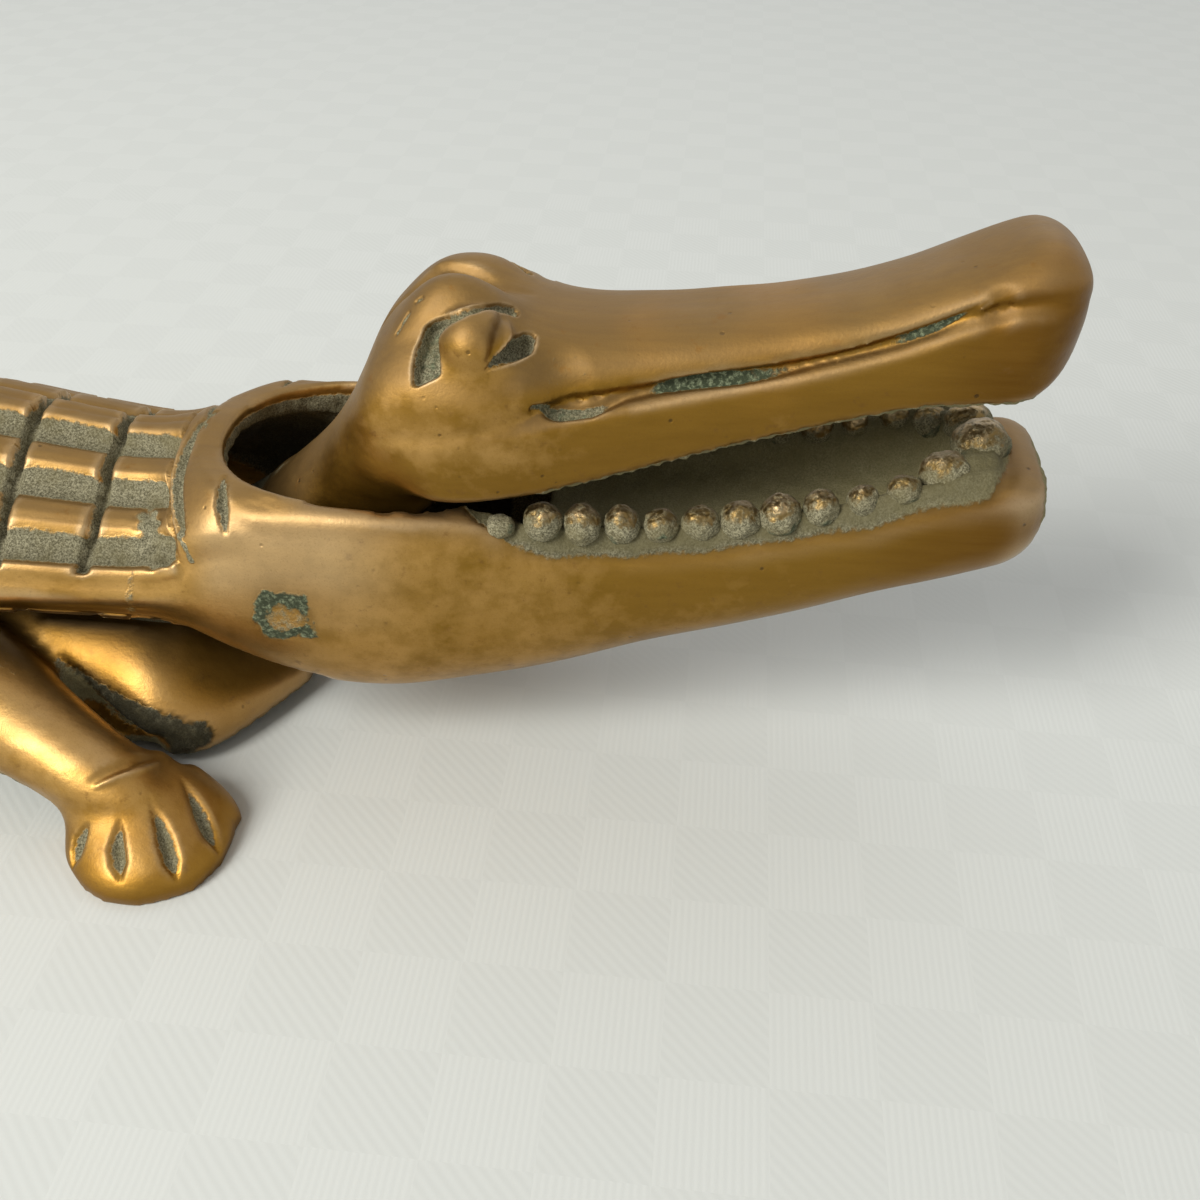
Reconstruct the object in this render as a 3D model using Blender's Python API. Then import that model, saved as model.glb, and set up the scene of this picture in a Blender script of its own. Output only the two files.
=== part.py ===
"""A crocodile nutcracker of cast brass, at rest on a table.

The frame: +X points to the snout, +Z up, and Z = 0 is the table. The croc is
symmetrical about the plane Y = 0. Sizes are in millimetres and MM turns them into
Blender's metres. Profiles are read along X from the pivot pin, positive to the
snout, and their heights are measured from the table.

The lever is the body casting: back, flanks, lower jaw and tail in one. It swings
on the pivot pin, which goes through the neck of the head casting. The head is
screwed to the leg frame, and both stand still.
"""

from math import ceil, cos, pi, radians, sin

import bmesh
import bpy
from mathutils import Matrix, Vector

MM = 0.001

# Gap left between two pieces that touch, and how far a cutter reaches past the skin
GAP = 0.3
OVERCUT = 4.0

# Longest steps between the sections of a loft
FINE_STEP = 3.2
MIDDLE_STEP = 5.6
COARSE_STEP = 8.0

# Whole object
JAW_REACH = 102.0
TAIL_REACH = 229.0
PIVOT_X = (TAIL_REACH - JAW_REACH) / 2
PIVOT_HEIGHT = 29.0

# Pivot pin and its bores
PIN_RADIUS = 3.0
PIN_CHAMFER = 0.5
BOSS_RADIUS = 8.0
BOSS_HALF_LENGTH = 16.5
BOSS_RELIEF = 1.5

# Walls of the hollow body casting
SHELL_WALL = 3.6
THROAT_WALL = 4.2
JAW_FLOOR = 4.0
HOLLOW_REAR = -146.0
HOLLOW_FRONT = 2.0

# Outline of the body casting along X, as (x, size) points
BODY_HALF_WIDTH = (
    (-229, 1.6), (-214, 4.0), (-190, 7.4), (-160, 12.0), (-136, 18.0), (-112, 23.5),
    (-84, 25.5), (-56, 24.4), (-30, 22.4), (-14, 21.0), (0, 21.2), (14, 20.6),
    (28, 18.4), (45, 16.2), (62, 14.4), (80, 12.6), (94, 11.6), (102, 11.0),
)
BODY_TOP = (
    (-229, 27.5), (-214, 23.5), (-196, 23.5), (-170, 29.0), (-140, 38.5), (-112, 45.0),
    (-84, 49.0), (-56, 48.8), (-40, 46.8), (-26, 44.8), (-18, 45.4), (-12, 47.2),
    (-2, 48.0), (8, 47.8), (24, 46.2), (29, 45.2), (33, 42.8), (45, 42.0),
    (58, 42.6), (76, 45.6), (90, 49.6), (102, 52.0),
)
BODY_BOTTOM = (
    (-229, 23.5), (-214, 16.0), (-196, 11.5), (-170, 10.5), (-150, 16.0), (-132, 22.0),
    (-110, 22.0), (-60, 20.8), (-28, 20.2), (-17, 18.8), (-9, 13.6), (-2, 10.3),
    (8, 8.4), (20, 9.6), (34, 13.4), (52, 20.1), (70, 26.2), (86, 31.8), (102, 37.6),
)
BODY_WAIST = (
    (-229, 25.5), (-196, 17.0), (-160, 20.0), (-120, 30.0), (-60, 31.5), (-14, 30.5),
    (0, 29.0), (20, 29.0), (40, 31.0), (60, 34.5), (80, 39.0), (102, 45.0),
)
BACK_SQUARENESS = (
    (-229, 1.8), (-60, 1.3), (-24, 1.25), (-16, 1.6), (-8, 2.8), (2, 4.0), (34, 4.4), (102, 4.6),
)
BELLY_SQUARENESS = 2.6
JAW_TIP_ROUNDING = 5.2

# Scutes: rows along the back, parted by grooves across it
SCUTE_FRONT = -15.0
SCUTE_PITCH = 12.5
SCUTE_SHRINK_FROM = -140.0
SCUTE_SHRINK = 0.94
SCUTE_REAR = -218.0
SCUTE_HEIGHT = 1.7
SCUTE_GROOVE_DEPTH = 0.7
SCUTE_GROOVE_HALF_WIDTH = 1.5
SCUTE_FULL_WIDTH = 16.0

# Share of the scute height at each angle from the top: a rolled row, then its scooped face
SCUTE_RELIEF = (
    (0, 0.8), (12, 1.0), (15, 0.42), (24, 0.1), (26, 0.75), (34, 1.0), (37, 0.4), (44, 0.1),
    (46, 0.75), (54, 1.0), (57, 0.4), (67, 0.1), (70, 0.6), (77, 0.0),
)

# Oval opening for the neck, and the mouth trough
OPENING_REAR = -13.0
OPENING_FRONT = 31.0
OPENING_HALF_WIDTH = 16.4
OPENING_SQUARENESS = 2.4
OPENING_POINTS = 36
TROUGH_REAR = 24.0
TROUGH_FRONT = JAW_REACH - 8.0
TROUGH_LEDGE = 5.4
TROUGH_DEPTH = 6.5
TROUGH_FLOOR_SHARE = 0.55
TROUGH_FLOOR_RISE = 2.4
TROUGH_ROUNDING = 5.0
THROAT_REAR = -8.0
THROAT_FRONT = 34.0
THROAT_SQUARENESS = 3.2

# Bead teeth on the ledge of the lower jaw
TOOTH_RADIUS = 2.6
TOOTH_PITCH = 5.4
TOOTH_FIRST = 34.5
TOOTH_LAST = JAW_REACH - 13.5
TOOTH_INSET = 3.5
TOOTH_RAISE = 0.8
FRONT_TOOTH_RADIUS = 3.1
FRONT_TOOTH_X = JAW_REACH - 8.4
FRONT_TOOTH_SPREAD = 4.2

# Outline of the head casting along X
HEAD_REAR = 4.0
SKULL_FRONT = 38.0
HEAD_REACH = 101.0
HEAD_HALF_WIDTH = (
    (4, 10.6), (8, 13.2), (13, 16.2), (22, 18.0), (30, 17.2), (38, 15.2), (50, 13.0),
    (66, 11.4), (80, 10.6), (92, 10.8), (100, 10.2),
)
HEAD_TOP = (
    (4, 49.6), (7, 54.0), (10, 60.0), (13, 66.0), (18, 69.8), (24, 70.6), (30, 69.8),
    (36, 68.6), (42, 68.6), (58, 70.4), (74, 73.8), (86, 78.8), (94, 82.4), (100, 83.2),
)
HEAD_LOWER_EDGE = (
    (4, 46.6), (24, 46.6), (32, 49.4), (43, 53.0), (62, 57.8), (80, 61.2), (100, 63.6),
)
GROOVE_HEIGHT = (
    (4, 48.0), (8, 51.5), (14, 56.5), (24, 58.5), (36, 60.2), (54, 64.0), (67, 67.0),
    (78, 70.6), (90, 76.0), (100, 77.6),
)
CROWN_HALF_WIDTH = (
    (4, 10.2), (8, 12.8), (14, 16.0), (24, 17.4), (32, 15.8), (40, 12.4), (56, 10.6),
    (80, 9.4), (92, 9.8), (100, 9.8),
)
CROWN_SQUARENESS = 2.3
LEAST_CROWN = 1.5
GROOVE_DEPTH = ((4, 0.0), (30, 0.0), (38, 1.5), (88, 1.3), (97, 0.0), (100, 0.0))
LIP_BEVEL = 1.2
PALATE_SHARE = 0.4
SNOUT_ROUNDING = 8.0
ROOF_REAR = 34.0
ROOF_FRONT = 93.0
ROOF_DEPTH = 3.5
ROOF_LIP = 3.6
ROOF_EDGE = 1.2
ROOF_SHARE = 0.6
ROOF_ROUNDING = 5.0

# Brow ridges and eyes
BROW_X = 23.5
BROW_Y = 6.4
BROW_LENGTH = 9.5
BROW_WIDTH = 4.6
BROW_HEIGHT = 3.7
LEFT_BROW_SINK = 0.7
EYE_X = 27.6
EYE_Y = 12.4
EYE_DROP = 2.6
EYE_RADIUS = 3.2
LEFT_EYE_SINK = 1.8

# Crescent carved round the back and top of each eye, as (x, y, z, radius)
SOCKET = (
    (19.6, 16.9, 62.4, 1.1), (19.0, 14.4, 66.0, 1.6), (20.0, 11.9, 69.0, 1.8),
    (22.4, 10.4, 71.2, 1.8), (26.0, 9.4, 72.2, 1.5), (30.0, 7.6, 71.2, 1.0),
)
SOCKET_FACETS = 8
PIT_X = 31.8
PIT_Y = 12.6
PIT_HEIGHT = 66.8
PIT_RADIUS = 2.0

# Neck, from its foot on the leg frame up into the skull
NECK_REAR = -42.0
NECK_FRONT = 24.0
NECK_TOP = (
    (-42, 28.5), (-28, 30.0), (-16, 31.0), (-10, 35.0), (-6, 39.4), (0, 44.6), (6, 51.0),
    (12, 57.0), (24, 60.0),
)
NECK_HALF_WIDTH = ((-42, 10.0), (-28, 11.6), (-12, 11.4), (-4, 10.0), (4, 11.4), (10, 13.0), (24, 12.8))
NECK_UNDERSIDE = ((-8, 17.0), (0, 20.0), (7, 24.0), (13, 33.0), (19, 42.0), (24, 47.5))
NECK_SQUARENESS = 3.2
NECK_FOOT_FRONT = -8.0
NECK_SEAT_HEIGHT = 17.0
NECK_EDGE = 1.0

# Leg frame
FRAME_UNDERSIDE = 1.5
FRAME_HALF_WIDTH = (
    (-146, 7.0), (-138, 15.0), (-124, 20.0), (-108, 19.0), (-92, 15.0), (-72, 15.0),
    (-56, 17.0), (-44, 19.0), (-30, 22.6), (-21, 25.6), (-15, 24.0), (-9, 14.6), (-4, 5.0),
)
FRAME_TOP = (
    (-146, 9.0), (-138, 15.0), (-124, 19.6), (-108, 19.6), (-92, 16.0), (-72, 16.0),
    (-58, 19.4), (-44, 20.6), (-30, 20.2), (-22, 17.6), (-15, 12.6), (-9, 8.0), (-4, 4.6),
)
FRAME_SQUARENESS = 2.4
FRAME_EDGE = 2.6
FRAME_BEVEL = 0.4
FRAME_WALL = 4.4
FRAME_HOLLOW_REAR = -140.0
FRAME_HOLLOW_FRONT = -50.0
SEAT_CLEARANCE = 0.8
SEAT_FRONT = 10.0
LIMB_FACETS = 14

# Front leg, from the shoulder to the toes, as (x, y, z, radius)
FRONT_LEG = (
    (-59.5, 17, 12.6, 3.0), (-57.5, 18, 12.6, 6.6), (-53, 20.6, 12.8, 8.8), (-45, 25.4, 12.4, 8.5),
    (-36, 30.4, 11.2, 7.5), (-28, 34.2, 9.6, 6.6), (-22, 36.6, 7.6, 6.0), (-17, 38.6, 5.4, 4.6),
)
FRONT_FOOT_X = -22.0
FRONT_FOOT_Y = 30.6
FRONT_FOOT_TURN = 27.0

# Hind leg, from the hip to the toes
HIND_LEG = (
    (-136.5, 17, 12.6, 3.0), (-134.5, 18, 12.6, 6.8), (-130, 20.6, 12.8, 9.2), (-122, 25.4, 12.4, 8.8),
    (-113, 30.4, 11.2, 7.6), (-105, 34.2, 9.6, 6.6), (-99, 36.6, 7.6, 6.0), (-94, 38.6, 5.4, 4.6),
)
HIND_FOOT_X = -98.0
HIND_FOOT_Y = 30.6
HIND_FOOT_TURN = 20.0

# Foot: a fan of five toes, as (distance out, half width, height)
FOOT_FAN = (
    (0, 8.0, 10.4), (4, 11.0, 10.2), (8.5, 12.8, 9.0), (13, 12.0, 7.4), (17, 9.6, 5.6),
    (19.6, 6.4, 4.2), (20.8, 4.0, 3.0),
)
FOOT_SQUARENESS = 2.4
SOLE_TRIM = 1.5
TOE_GROOVES = 4
TOE_GROOVE_SPREAD = 7.3
TOE_FAN_CENTRE = 30.0
TOE_GROOVE_WIDTH = 2.4
TOE_GROOVE_START = 8.0
TOE_GROOVE_TOP = 7.0
TOE_GROOVE_END = 0.3
TOE_SIDE_DROP = 1.6
TOE_GROOVE_FLARE = 1.7
TOE_GROOVE_LID = 15.0

# Screws between the leg frame and the neck
SCREW_FRONT = -15.0
SCREW_REAR = -35.0
SCREW_RADIUS = 2.5
SCREW_LENGTH = 18.0
SCREW_EDGE = 0.4
SCREW_HEAD_RADIUS = 4.5
SCREW_HEAD_HEIGHT = 2.8
SCREW_RECESS_DEPTH = 4.5
SCREW_SLOT_WIDTH = 1.2
SCREW_SLOT_DEPTH = 1.3

# Metals, as linear colour and roughness
BODY_METAL = ((0.42, 0.25, 0.09), 0.34)
HEAD_METAL = ((0.40, 0.24, 0.09), 0.36)
LEG_METAL = ((0.41, 0.25, 0.10), 0.36)
PIN_METAL = ((0.30, 0.26, 0.14), 0.45)
SCREW_METAL = ((0.36, 0.33, 0.27), 0.42)

# Angles, from the top of a section, at which a ring of the body has its points
RING_ANGLES = tuple(angle for angle, share in SCUTE_RELIEF) + (89, 104, 122, 142, 162)
ROUND_STEPS = 4
ROUND_ANGLE = 83.0
SHARP_ANGLE = 35.0
FACETS = 24
BALL_FACETS = 8
BALL_ROWS = 6


def curve(points, x):
    """Read a smooth curve through (x, value) points, level past its two ends."""
    if x <= points[0][0]:
        return float(points[0][1])
    if x >= points[-1][0]:
        return float(points[-1][1])
    slopes = []
    for i in range(len(points)):
        before = points[max(i - 1, 0)]
        after = points[min(i + 1, len(points) - 1)]
        slopes.append((after[1] - before[1]) / (after[0] - before[0]))
    i = max(k for k in range(len(points) - 1) if points[k][0] <= x)
    x0, v0 = points[i]
    x1, v1 = points[i + 1]
    span = x1 - x0
    t = (x - x0) / span
    blend = t * t * (3 - 2 * t)
    lead_in = t * (1 - t) * (1 - t) * span * slopes[i]
    lead_out = t * t * (t - 1) * span * slopes[i + 1]
    return v0 + (v1 - v0) * blend + lead_in + lead_out


def power(value, squareness):
    """Sine or cosine raised so that a circle turns into a rounded square."""
    size = abs(value) ** (2 / squareness)
    return size if value >= 0 else -size


def steps_between(start, end, longest):
    """Evenly spaced places from start to end, no further apart than longest."""
    count = max(1, ceil(abs(end - start) / longest))
    return [start + (end - start) * i / count for i in range(count + 1)]


def rounded_tip(end, radius):
    """Stations (x, inset) that close a loft with a round nose ending at end."""
    stations = []
    for i in range(ROUND_STEPS + 1):
        angle = radians(ROUND_ANGLE) * i / ROUND_STEPS
        stations.append((end - radius + radius * sin(angle), radius * (1 - cos(angle))))
    return stations


def new_object(name, mesh, origin):
    """Put a mesh in the scene, with its object's origin at a place in millimetres."""
    offset = Matrix.Translation(-Vector(origin))
    mesh.transform(offset)
    mesh.transform(Matrix.Scale(MM, 4))
    obj = bpy.data.objects.new(name, mesh)
    obj.location = Vector(origin) * MM
    bpy.context.scene.collection.objects.link(obj)
    return obj


def skin(name, rings, origin=(0, 0, 0)):
    """Make a closed solid from rings of points, each with the same number."""
    shape = bmesh.new()
    loops = [[shape.verts.new(point) for point in ring] for ring in rings]
    count = len(loops[0])
    for lower, upper in zip(loops, loops[1:]):
        for i in range(count):
            j = (i + 1) % count
            shape.faces.new((lower[i], lower[j], upper[j], upper[i]))
    for loop in (loops[0], loops[-1]):
        centre = shape.verts.new(sum((v.co for v in loop), Vector()) / count)
        for i in range(count):
            shape.faces.new((loop[i], loop[(i + 1) % count], centre))
    bmesh.ops.remove_doubles(shape, verts=shape.verts, dist=0.001)
    bmesh.ops.recalc_face_normals(shape, faces=shape.faces)
    mesh = bpy.data.meshes.new(name)
    shape.to_mesh(mesh)
    shape.free()
    return new_object(name, mesh, origin)


def turned(name, axis, centre, profile, origin=(0, 0, 0)):
    """A turned solid: (height along the axis, radius) points, about a centre line."""
    rings = []
    for height, radius in profile:
        ring = []
        for i in range(FACETS):
            a = 2 * pi * i / FACETS
            u, v = radius * cos(a), radius * sin(a)
            offset = (u, v, height) if axis == "Z" else (u, height, v)
            ring.append(tuple(c + o for c, o in zip(centre, offset)))
        rings.append(ring)
    return skin(name, rings, origin)


def cross_bar(name, radius, reach):
    """A round bar through the pivot, from flank to flank."""
    return turned(name, "Y", (PIVOT_X, 0, PIVOT_HEIGHT), ((-reach, radius), (reach, radius)))


def box(name, low, high):
    """A plain box, used as a cutter."""
    rings = []
    for x in (low[0], high[0]):
        corners = ((low[1], low[2]), (high[1], low[2]), (high[1], high[2]), (low[1], high[2]))
        rings.append([(x, y, z) for y, z in corners])
    return skin(name, rings)


def balls(name, places):
    """One helper object that holds a ball at each (x, y, z, radius)."""
    shape = bmesh.new()
    for x, y, z, radius in places:
        where = Matrix.Translation((x, y, z))
        bmesh.ops.create_uvsphere(
            shape, u_segments=BALL_FACETS, v_segments=BALL_ROWS, radius=radius, matrix=where
        )
    mesh = bpy.data.meshes.new(name)
    shape.to_mesh(mesh)
    shape.free()
    return new_object(name, mesh, (0, 0, 0))


def tube(name, points, side, count):
    """A tapering round tube through (x, y, z, radius) points, on one side."""
    rings = []
    places = [Vector((PIVOT_X + x, side * y, z)) for x, y, z, radius in points]
    for i, place in enumerate(places):
        along = (places[min(i + 1, len(places) - 1)] - places[max(i - 1, 0)]).normalized()
        across = along.cross(Vector((0, 0, 1))).normalized()
        up = across.cross(along)
        radius = points[i][3]
        angles = [2 * pi * k / count for k in range(count)]
        rings.append([place + radius * (across * cos(a) + up * sin(a)) for a in angles])
    return skin(name, rings)


def combine(obj, helper, operation):
    """Cut a helper out of an object, or join the two, with a Boolean modifier."""
    helper.hide_render = True
    helper.display_type = "WIRE"
    modifier = obj.modifiers.new(helper.name, "BOOLEAN")
    modifier.operation = operation
    modifier.object = helper
    modifier.solver = "EXACT"


def cut(obj, *helpers):
    for helper in helpers:
        combine(obj, helper, "DIFFERENCE")


def join(obj, *helpers):
    for helper in helpers:
        combine(obj, helper, "UNION")


def finish(obj, metal):
    """Give the part its own metal and smooth shading."""
    colour, roughness = metal
    material = bpy.data.materials.new(obj.name + "_metal")
    material.use_nodes = True
    shader = material.node_tree.nodes["Principled BSDF"]
    shader.inputs["Base Color"].default_value = (*colour, 1.0)
    shader.inputs["Roughness"].default_value = roughness
    shader.inputs["Metallic"].default_value = 1.0
    obj.data.materials.append(material)
    obj.data.shade_smooth()
    obj.data.set_sharp_from_angle(angle=radians(SHARP_ANGLE))
    return obj


# Body casting

def scute_grooves():
    """Places along the back of the grooves between the scutes, shrinking down the tail."""
    places = []
    x, pitch = SCUTE_FRONT, SCUTE_PITCH
    while x > SCUTE_REAR:
        places.append(x)
        if x < SCUTE_SHRINK_FROM:
            pitch *= SCUTE_SHRINK
        x -= pitch
    return places


def scute_lift(x, angle, grooves):
    """How far the skin of the back stands out at one angle from its top."""
    nearest = min(abs(x - groove) for groove in grooves)
    if angle >= SCUTE_RELIEF[-1][0] or not grooves[-1] <= x <= grooves[0]:
        return 0.0
    if nearest < SCUTE_GROOVE_HALF_WIDTH / 2:
        return -SCUTE_GROOVE_DEPTH
    shrink = min(1.0, curve(BODY_HALF_WIDTH, x) / SCUTE_FULL_WIDTH)
    return SCUTE_HEIGHT * shrink * curve(SCUTE_RELIEF, angle)


def body_ring(x, inset=0.0, grooves=None):
    """One section of the body casting, as (x, y, z) points all the way round."""
    half = curve(BODY_HALF_WIDTH, x) - inset
    waist = curve(BODY_WAIST, x)
    rise = curve(BODY_TOP, x) - waist - inset
    drop = waist - curve(BODY_BOTTOM, x) - inset
    back = curve(BACK_SQUARENESS, x)
    right = []
    for angle in RING_ANGLES + (180,):
        a = radians(angle)
        upper = cos(a) >= 0
        squareness = back if upper else BELLY_SQUARENESS
        y = half * power(sin(a), squareness)
        z = (rise if upper else drop) * power(cos(a), squareness)
        if grooves:
            lift = scute_lift(x, angle, grooves)
            out = Vector((y / half, z / (rise if upper else drop))).normalized() * lift
            y += out.x
            z += out.y
        right.append((y, waist + z))
    left = [(-y, z) for y, z in right[-2:0:-1]]
    return [(PIVOT_X + x, y, z) for y, z in right + left]


def body_stations(grooves):
    """Places along X where the body casting gets a ring."""
    places = []
    for groove in grooves:
        places += [groove - SCUTE_GROOVE_HALF_WIDTH, groove, groove + SCUTE_GROOVE_HALF_WIDTH]
    for front, rear in zip(grooves, grooves[1:]):
        places.append((front + rear) / 2)
    places += steps_between(SCUTE_FRONT + FINE_STEP, JAW_REACH - JAW_TIP_ROUNDING, MIDDLE_STEP)
    places += steps_between(-TAIL_REACH, grooves[-1] - FINE_STEP, FINE_STEP)
    return sorted(places)


def jaw_rim(x):
    return curve(BODY_TOP, x)


def open_hollow():
    """The space under the back, open below, which the neck and leg frame enter."""
    rings = []
    for x in steps_between(HOLLOW_REAR, HOLLOW_FRONT, COARSE_STEP):
        half = curve(BODY_HALF_WIDTH, x) - SHELL_WALL
        waist = curve(BODY_WAIST, x)
        rise = curve(BODY_TOP, x) - SHELL_WALL - waist
        back = curve(BACK_SQUARENESS, x)
        right = []
        for angle in range(0, 91, 15):
            a = radians(angle)
            right.append((half * power(sin(a), back), waist + rise * power(cos(a), back)))
        right.append((half, curve(BODY_BOTTOM, x) - OVERCUT))
        rings.append([(PIVOT_X + x, y, z) for y, z in right + [(-y, z) for y, z in right[:0:-1]]])
    return skin("cut_hollow", rings)


def throat():
    """The closed-floored space ahead of the pivot, where the neck turns up."""
    rings = []
    for x in steps_between(THROAT_REAR, THROAT_FRONT, MIDDLE_STEP):
        half = curve(BODY_HALF_WIDTH, x) - THROAT_WALL
        floor = curve(BODY_BOTTOM, x) + JAW_FLOOR
        middle = curve(BODY_WAIST, x)
        top = jaw_rim(x) - SHELL_WALL
        right = []
        for angle in range(0, 181, 18):
            a = radians(angle)
            reach = (top - middle) if angle <= 90 else (middle - floor)
            y = half * power(sin(a), THROAT_SQUARENESS)
            right.append((y, middle + reach * power(cos(a), THROAT_SQUARENESS)))
        rings.append([(PIVOT_X + x, y, z) for y, z in right + [(-y, z) for y, z in right[-2:0:-1]]])
    return skin("cut_throat", rings)


def oval_opening():
    """The oval hole through the collar, which the neck comes up through."""
    middle = (OPENING_REAR + OPENING_FRONT) / 2
    reach = (OPENING_FRONT - OPENING_REAR) / 2
    rings = []
    for z in (PIVOT_HEIGHT + BOSS_RADIUS - OVERCUT, jaw_rim(middle) + OVERCUT):
        ring = []
        for i in range(OPENING_POINTS):
            a = 2 * pi * i / OPENING_POINTS
            x = middle + reach * power(cos(a), OPENING_SQUARENESS)
            y = OPENING_HALF_WIDTH * power(sin(a), OPENING_SQUARENESS)
            ring.append((PIVOT_X + x, y, z))
        rings.append(ring)
    return skin("cut_opening", rings)


def mouth_trough():
    """The long trough between the two rows of teeth."""
    rings = []
    rear_part = steps_between(TROUGH_REAR, TROUGH_FRONT - TROUGH_ROUNDING, COARSE_STEP)
    stations = [(x, 0.0) for x in rear_part] + rounded_tip(TROUGH_FRONT, TROUGH_ROUNDING)[1:]
    for x, inset in stations:
        half = curve(BODY_HALF_WIDTH, x) - TROUGH_LEDGE - inset
        bed = half * TROUGH_FLOOR_SHARE
        floor = jaw_rim(x) - TROUGH_DEPTH
        side = floor + TROUGH_FLOOR_RISE
        lid = jaw_rim(x) + TROUGH_DEPTH
        ring = [(half, lid), (half, side), (bed, floor), (-bed, floor), (-half, side), (-half, lid)]
        rings.append([(PIVOT_X + x, y, z) for y, z in ring])
    return skin("cut_trough", rings)


def tooth_places():
    """Centres of the bead teeth: a row on each side and a few across the tip."""
    places = []
    for x in steps_between(TOOTH_FIRST, TOOTH_LAST, TOOTH_PITCH):
        y = curve(BODY_HALF_WIDTH, x) - TOOTH_INSET
        for side in (1, -1):
            places.append((PIVOT_X + x, side * y, jaw_rim(x) + TOOTH_RAISE, TOOTH_RADIUS))
    height = jaw_rim(FRONT_TOOTH_X) + TOOTH_RAISE
    for side in (1, -1):
        y = side * FRONT_TOOTH_SPREAD
        places.append((PIVOT_X + FRONT_TOOTH_X, y, height, FRONT_TOOTH_RADIUS))
    return places


def body_casting():
    """The lever: back, flanks, lower jaw and tail in one hollow casting."""
    grooves = scute_grooves()
    rings = [body_ring(x, 0.0, grooves) for x in body_stations(grooves)]
    rings += [body_ring(x, inset) for x, inset in rounded_tip(JAW_REACH, JAW_TIP_ROUNDING)[1:]]
    pivot = (PIVOT_X, 0, PIVOT_HEIGHT)
    body = skin("body_casting", rings, pivot)
    cut(body, open_hollow(), throat(), oval_opening(), mouth_trough())
    reach = curve(BODY_HALF_WIDTH, 0) + OVERCUT
    bore = cross_bar("cut_pin_bore", PIN_RADIUS + GAP, reach)
    face = cross_bar("cut_boss_faces", BOSS_RADIUS + BOSS_RELIEF, BOSS_HALF_LENGTH + GAP)
    cut(body, bore, face)
    join(body, balls("add_teeth", tooth_places()))
    return finish(body, BODY_METAL)


# Head casting

def brow_lift(x, y):
    """Height that the two brow ridges add to the skull."""
    along = (x - BROW_X) / BROW_LENGTH
    across = (abs(y) - BROW_Y) / BROW_WIDTH
    high = BROW_HEIGHT - (LEFT_BROW_SINK if y > 0 else 0.0)
    return high * max(0.0, 1 - along * along) ** 1.5 * max(0.0, 1 - across * across)


def head_ring(x, inset=0.0):
    """One section of the skull or upper jaw: crown, side groove and lip."""
    half = curve(HEAD_HALF_WIDTH, x) - inset
    lower = curve(HEAD_LOWER_EDGE, x) + inset
    top = curve(HEAD_TOP, x) - inset
    groove = min(curve(GROOVE_HEIGHT, x), top - LEAST_CROWN)
    crown = curve(CROWN_HALF_WIDTH, x) - inset
    depth = curve(GROOVE_DEPTH, x)
    right = []
    for angle in (0, 14, 28, 42, 56, 70, 82):
        a = radians(angle)
        y = crown * power(sin(a), CROWN_SQUARENESS)
        z = groove + (top - groove) * power(cos(a), CROWN_SQUARENESS)
        right.append((y, z))
    lip = groove - lower
    bevel = min(LIP_BEVEL, lip / 4)
    right.append((crown - depth, groove))
    right.append((half - bevel / 2, groove - bevel))
    right.append((half, groove - lip / 2))
    right.append((half - bevel / 2, lower + bevel))
    right.append((half - 2 * bevel, lower))
    right.append((half * PALATE_SHARE, lower))
    left = [(-y, z) for y, z in right[:0:-1]]
    crest = [(y, z + (brow_lift(x, y) if z > groove else 0.0)) for y, z in right + left]
    return [(PIVOT_X + x, y, z) for y, z in crest]


def mouth_roof():
    """The shallow hollow under the upper jaw, with a band of gum left round it."""
    rings = []
    rear_part = steps_between(ROOF_REAR, ROOF_FRONT - ROOF_ROUNDING, COARSE_STEP)
    stations = [(x, 0.0) for x in rear_part] + rounded_tip(ROOF_FRONT, ROOF_ROUNDING)[1:]
    for x, inset in stations:
        half = curve(HEAD_HALF_WIDTH, x) - ROOF_LIP - inset
        flat = half * ROOF_SHARE
        lower = curve(HEAD_LOWER_EDGE, x)
        roof = lower + ROOF_DEPTH
        edge = lower + ROOF_EDGE
        lid = lower - OVERCUT
        ring = [(half, lid), (half, edge), (flat, roof), (-flat, roof), (-half, edge), (-half, lid)]
        rings.append([(PIVOT_X + x, y, z) for y, z in ring])
    return skin("cut_mouth_roof", rings)


def neck():
    """The neck: a flat foot on the leg frame, a waist at the pin, and the throat."""
    rings = []
    places = steps_between(NECK_REAR, NECK_FOOT_FRONT, MIDDLE_STEP)
    places += steps_between(NECK_FOOT_FRONT, NECK_FRONT, FINE_STEP)[1:]
    for x in places:
        half = curve(NECK_HALF_WIDTH, x)
        top = curve(NECK_TOP, x)
        under = NECK_SEAT_HEIGHT if x <= NECK_FOOT_FRONT else curve(NECK_UNDERSIDE, x)
        middle = (top + under) / 2
        right = []
        for angle in range(0, 91, 15):
            a = radians(angle)
            z = middle + (top - middle) * power(cos(a), NECK_SQUARENESS)
            right.append((half * power(sin(a), NECK_SQUARENESS), z))
        right.append((half, under + NECK_EDGE))
        right.append((half - NECK_EDGE, under))
        rings.append([(PIVOT_X + x, y, z) for y, z in right + [(-y, z) for y, z in right[:0:-1]]])
    return skin("add_neck", rings)


def eye_pits():
    """The small pit in front of each eye."""
    places = [(PIVOT_X + PIT_X, side * PIT_Y, PIT_HEIGHT, PIT_RADIUS) for side in (1, -1)]
    return balls("cut_eye_pits", places)


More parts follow.
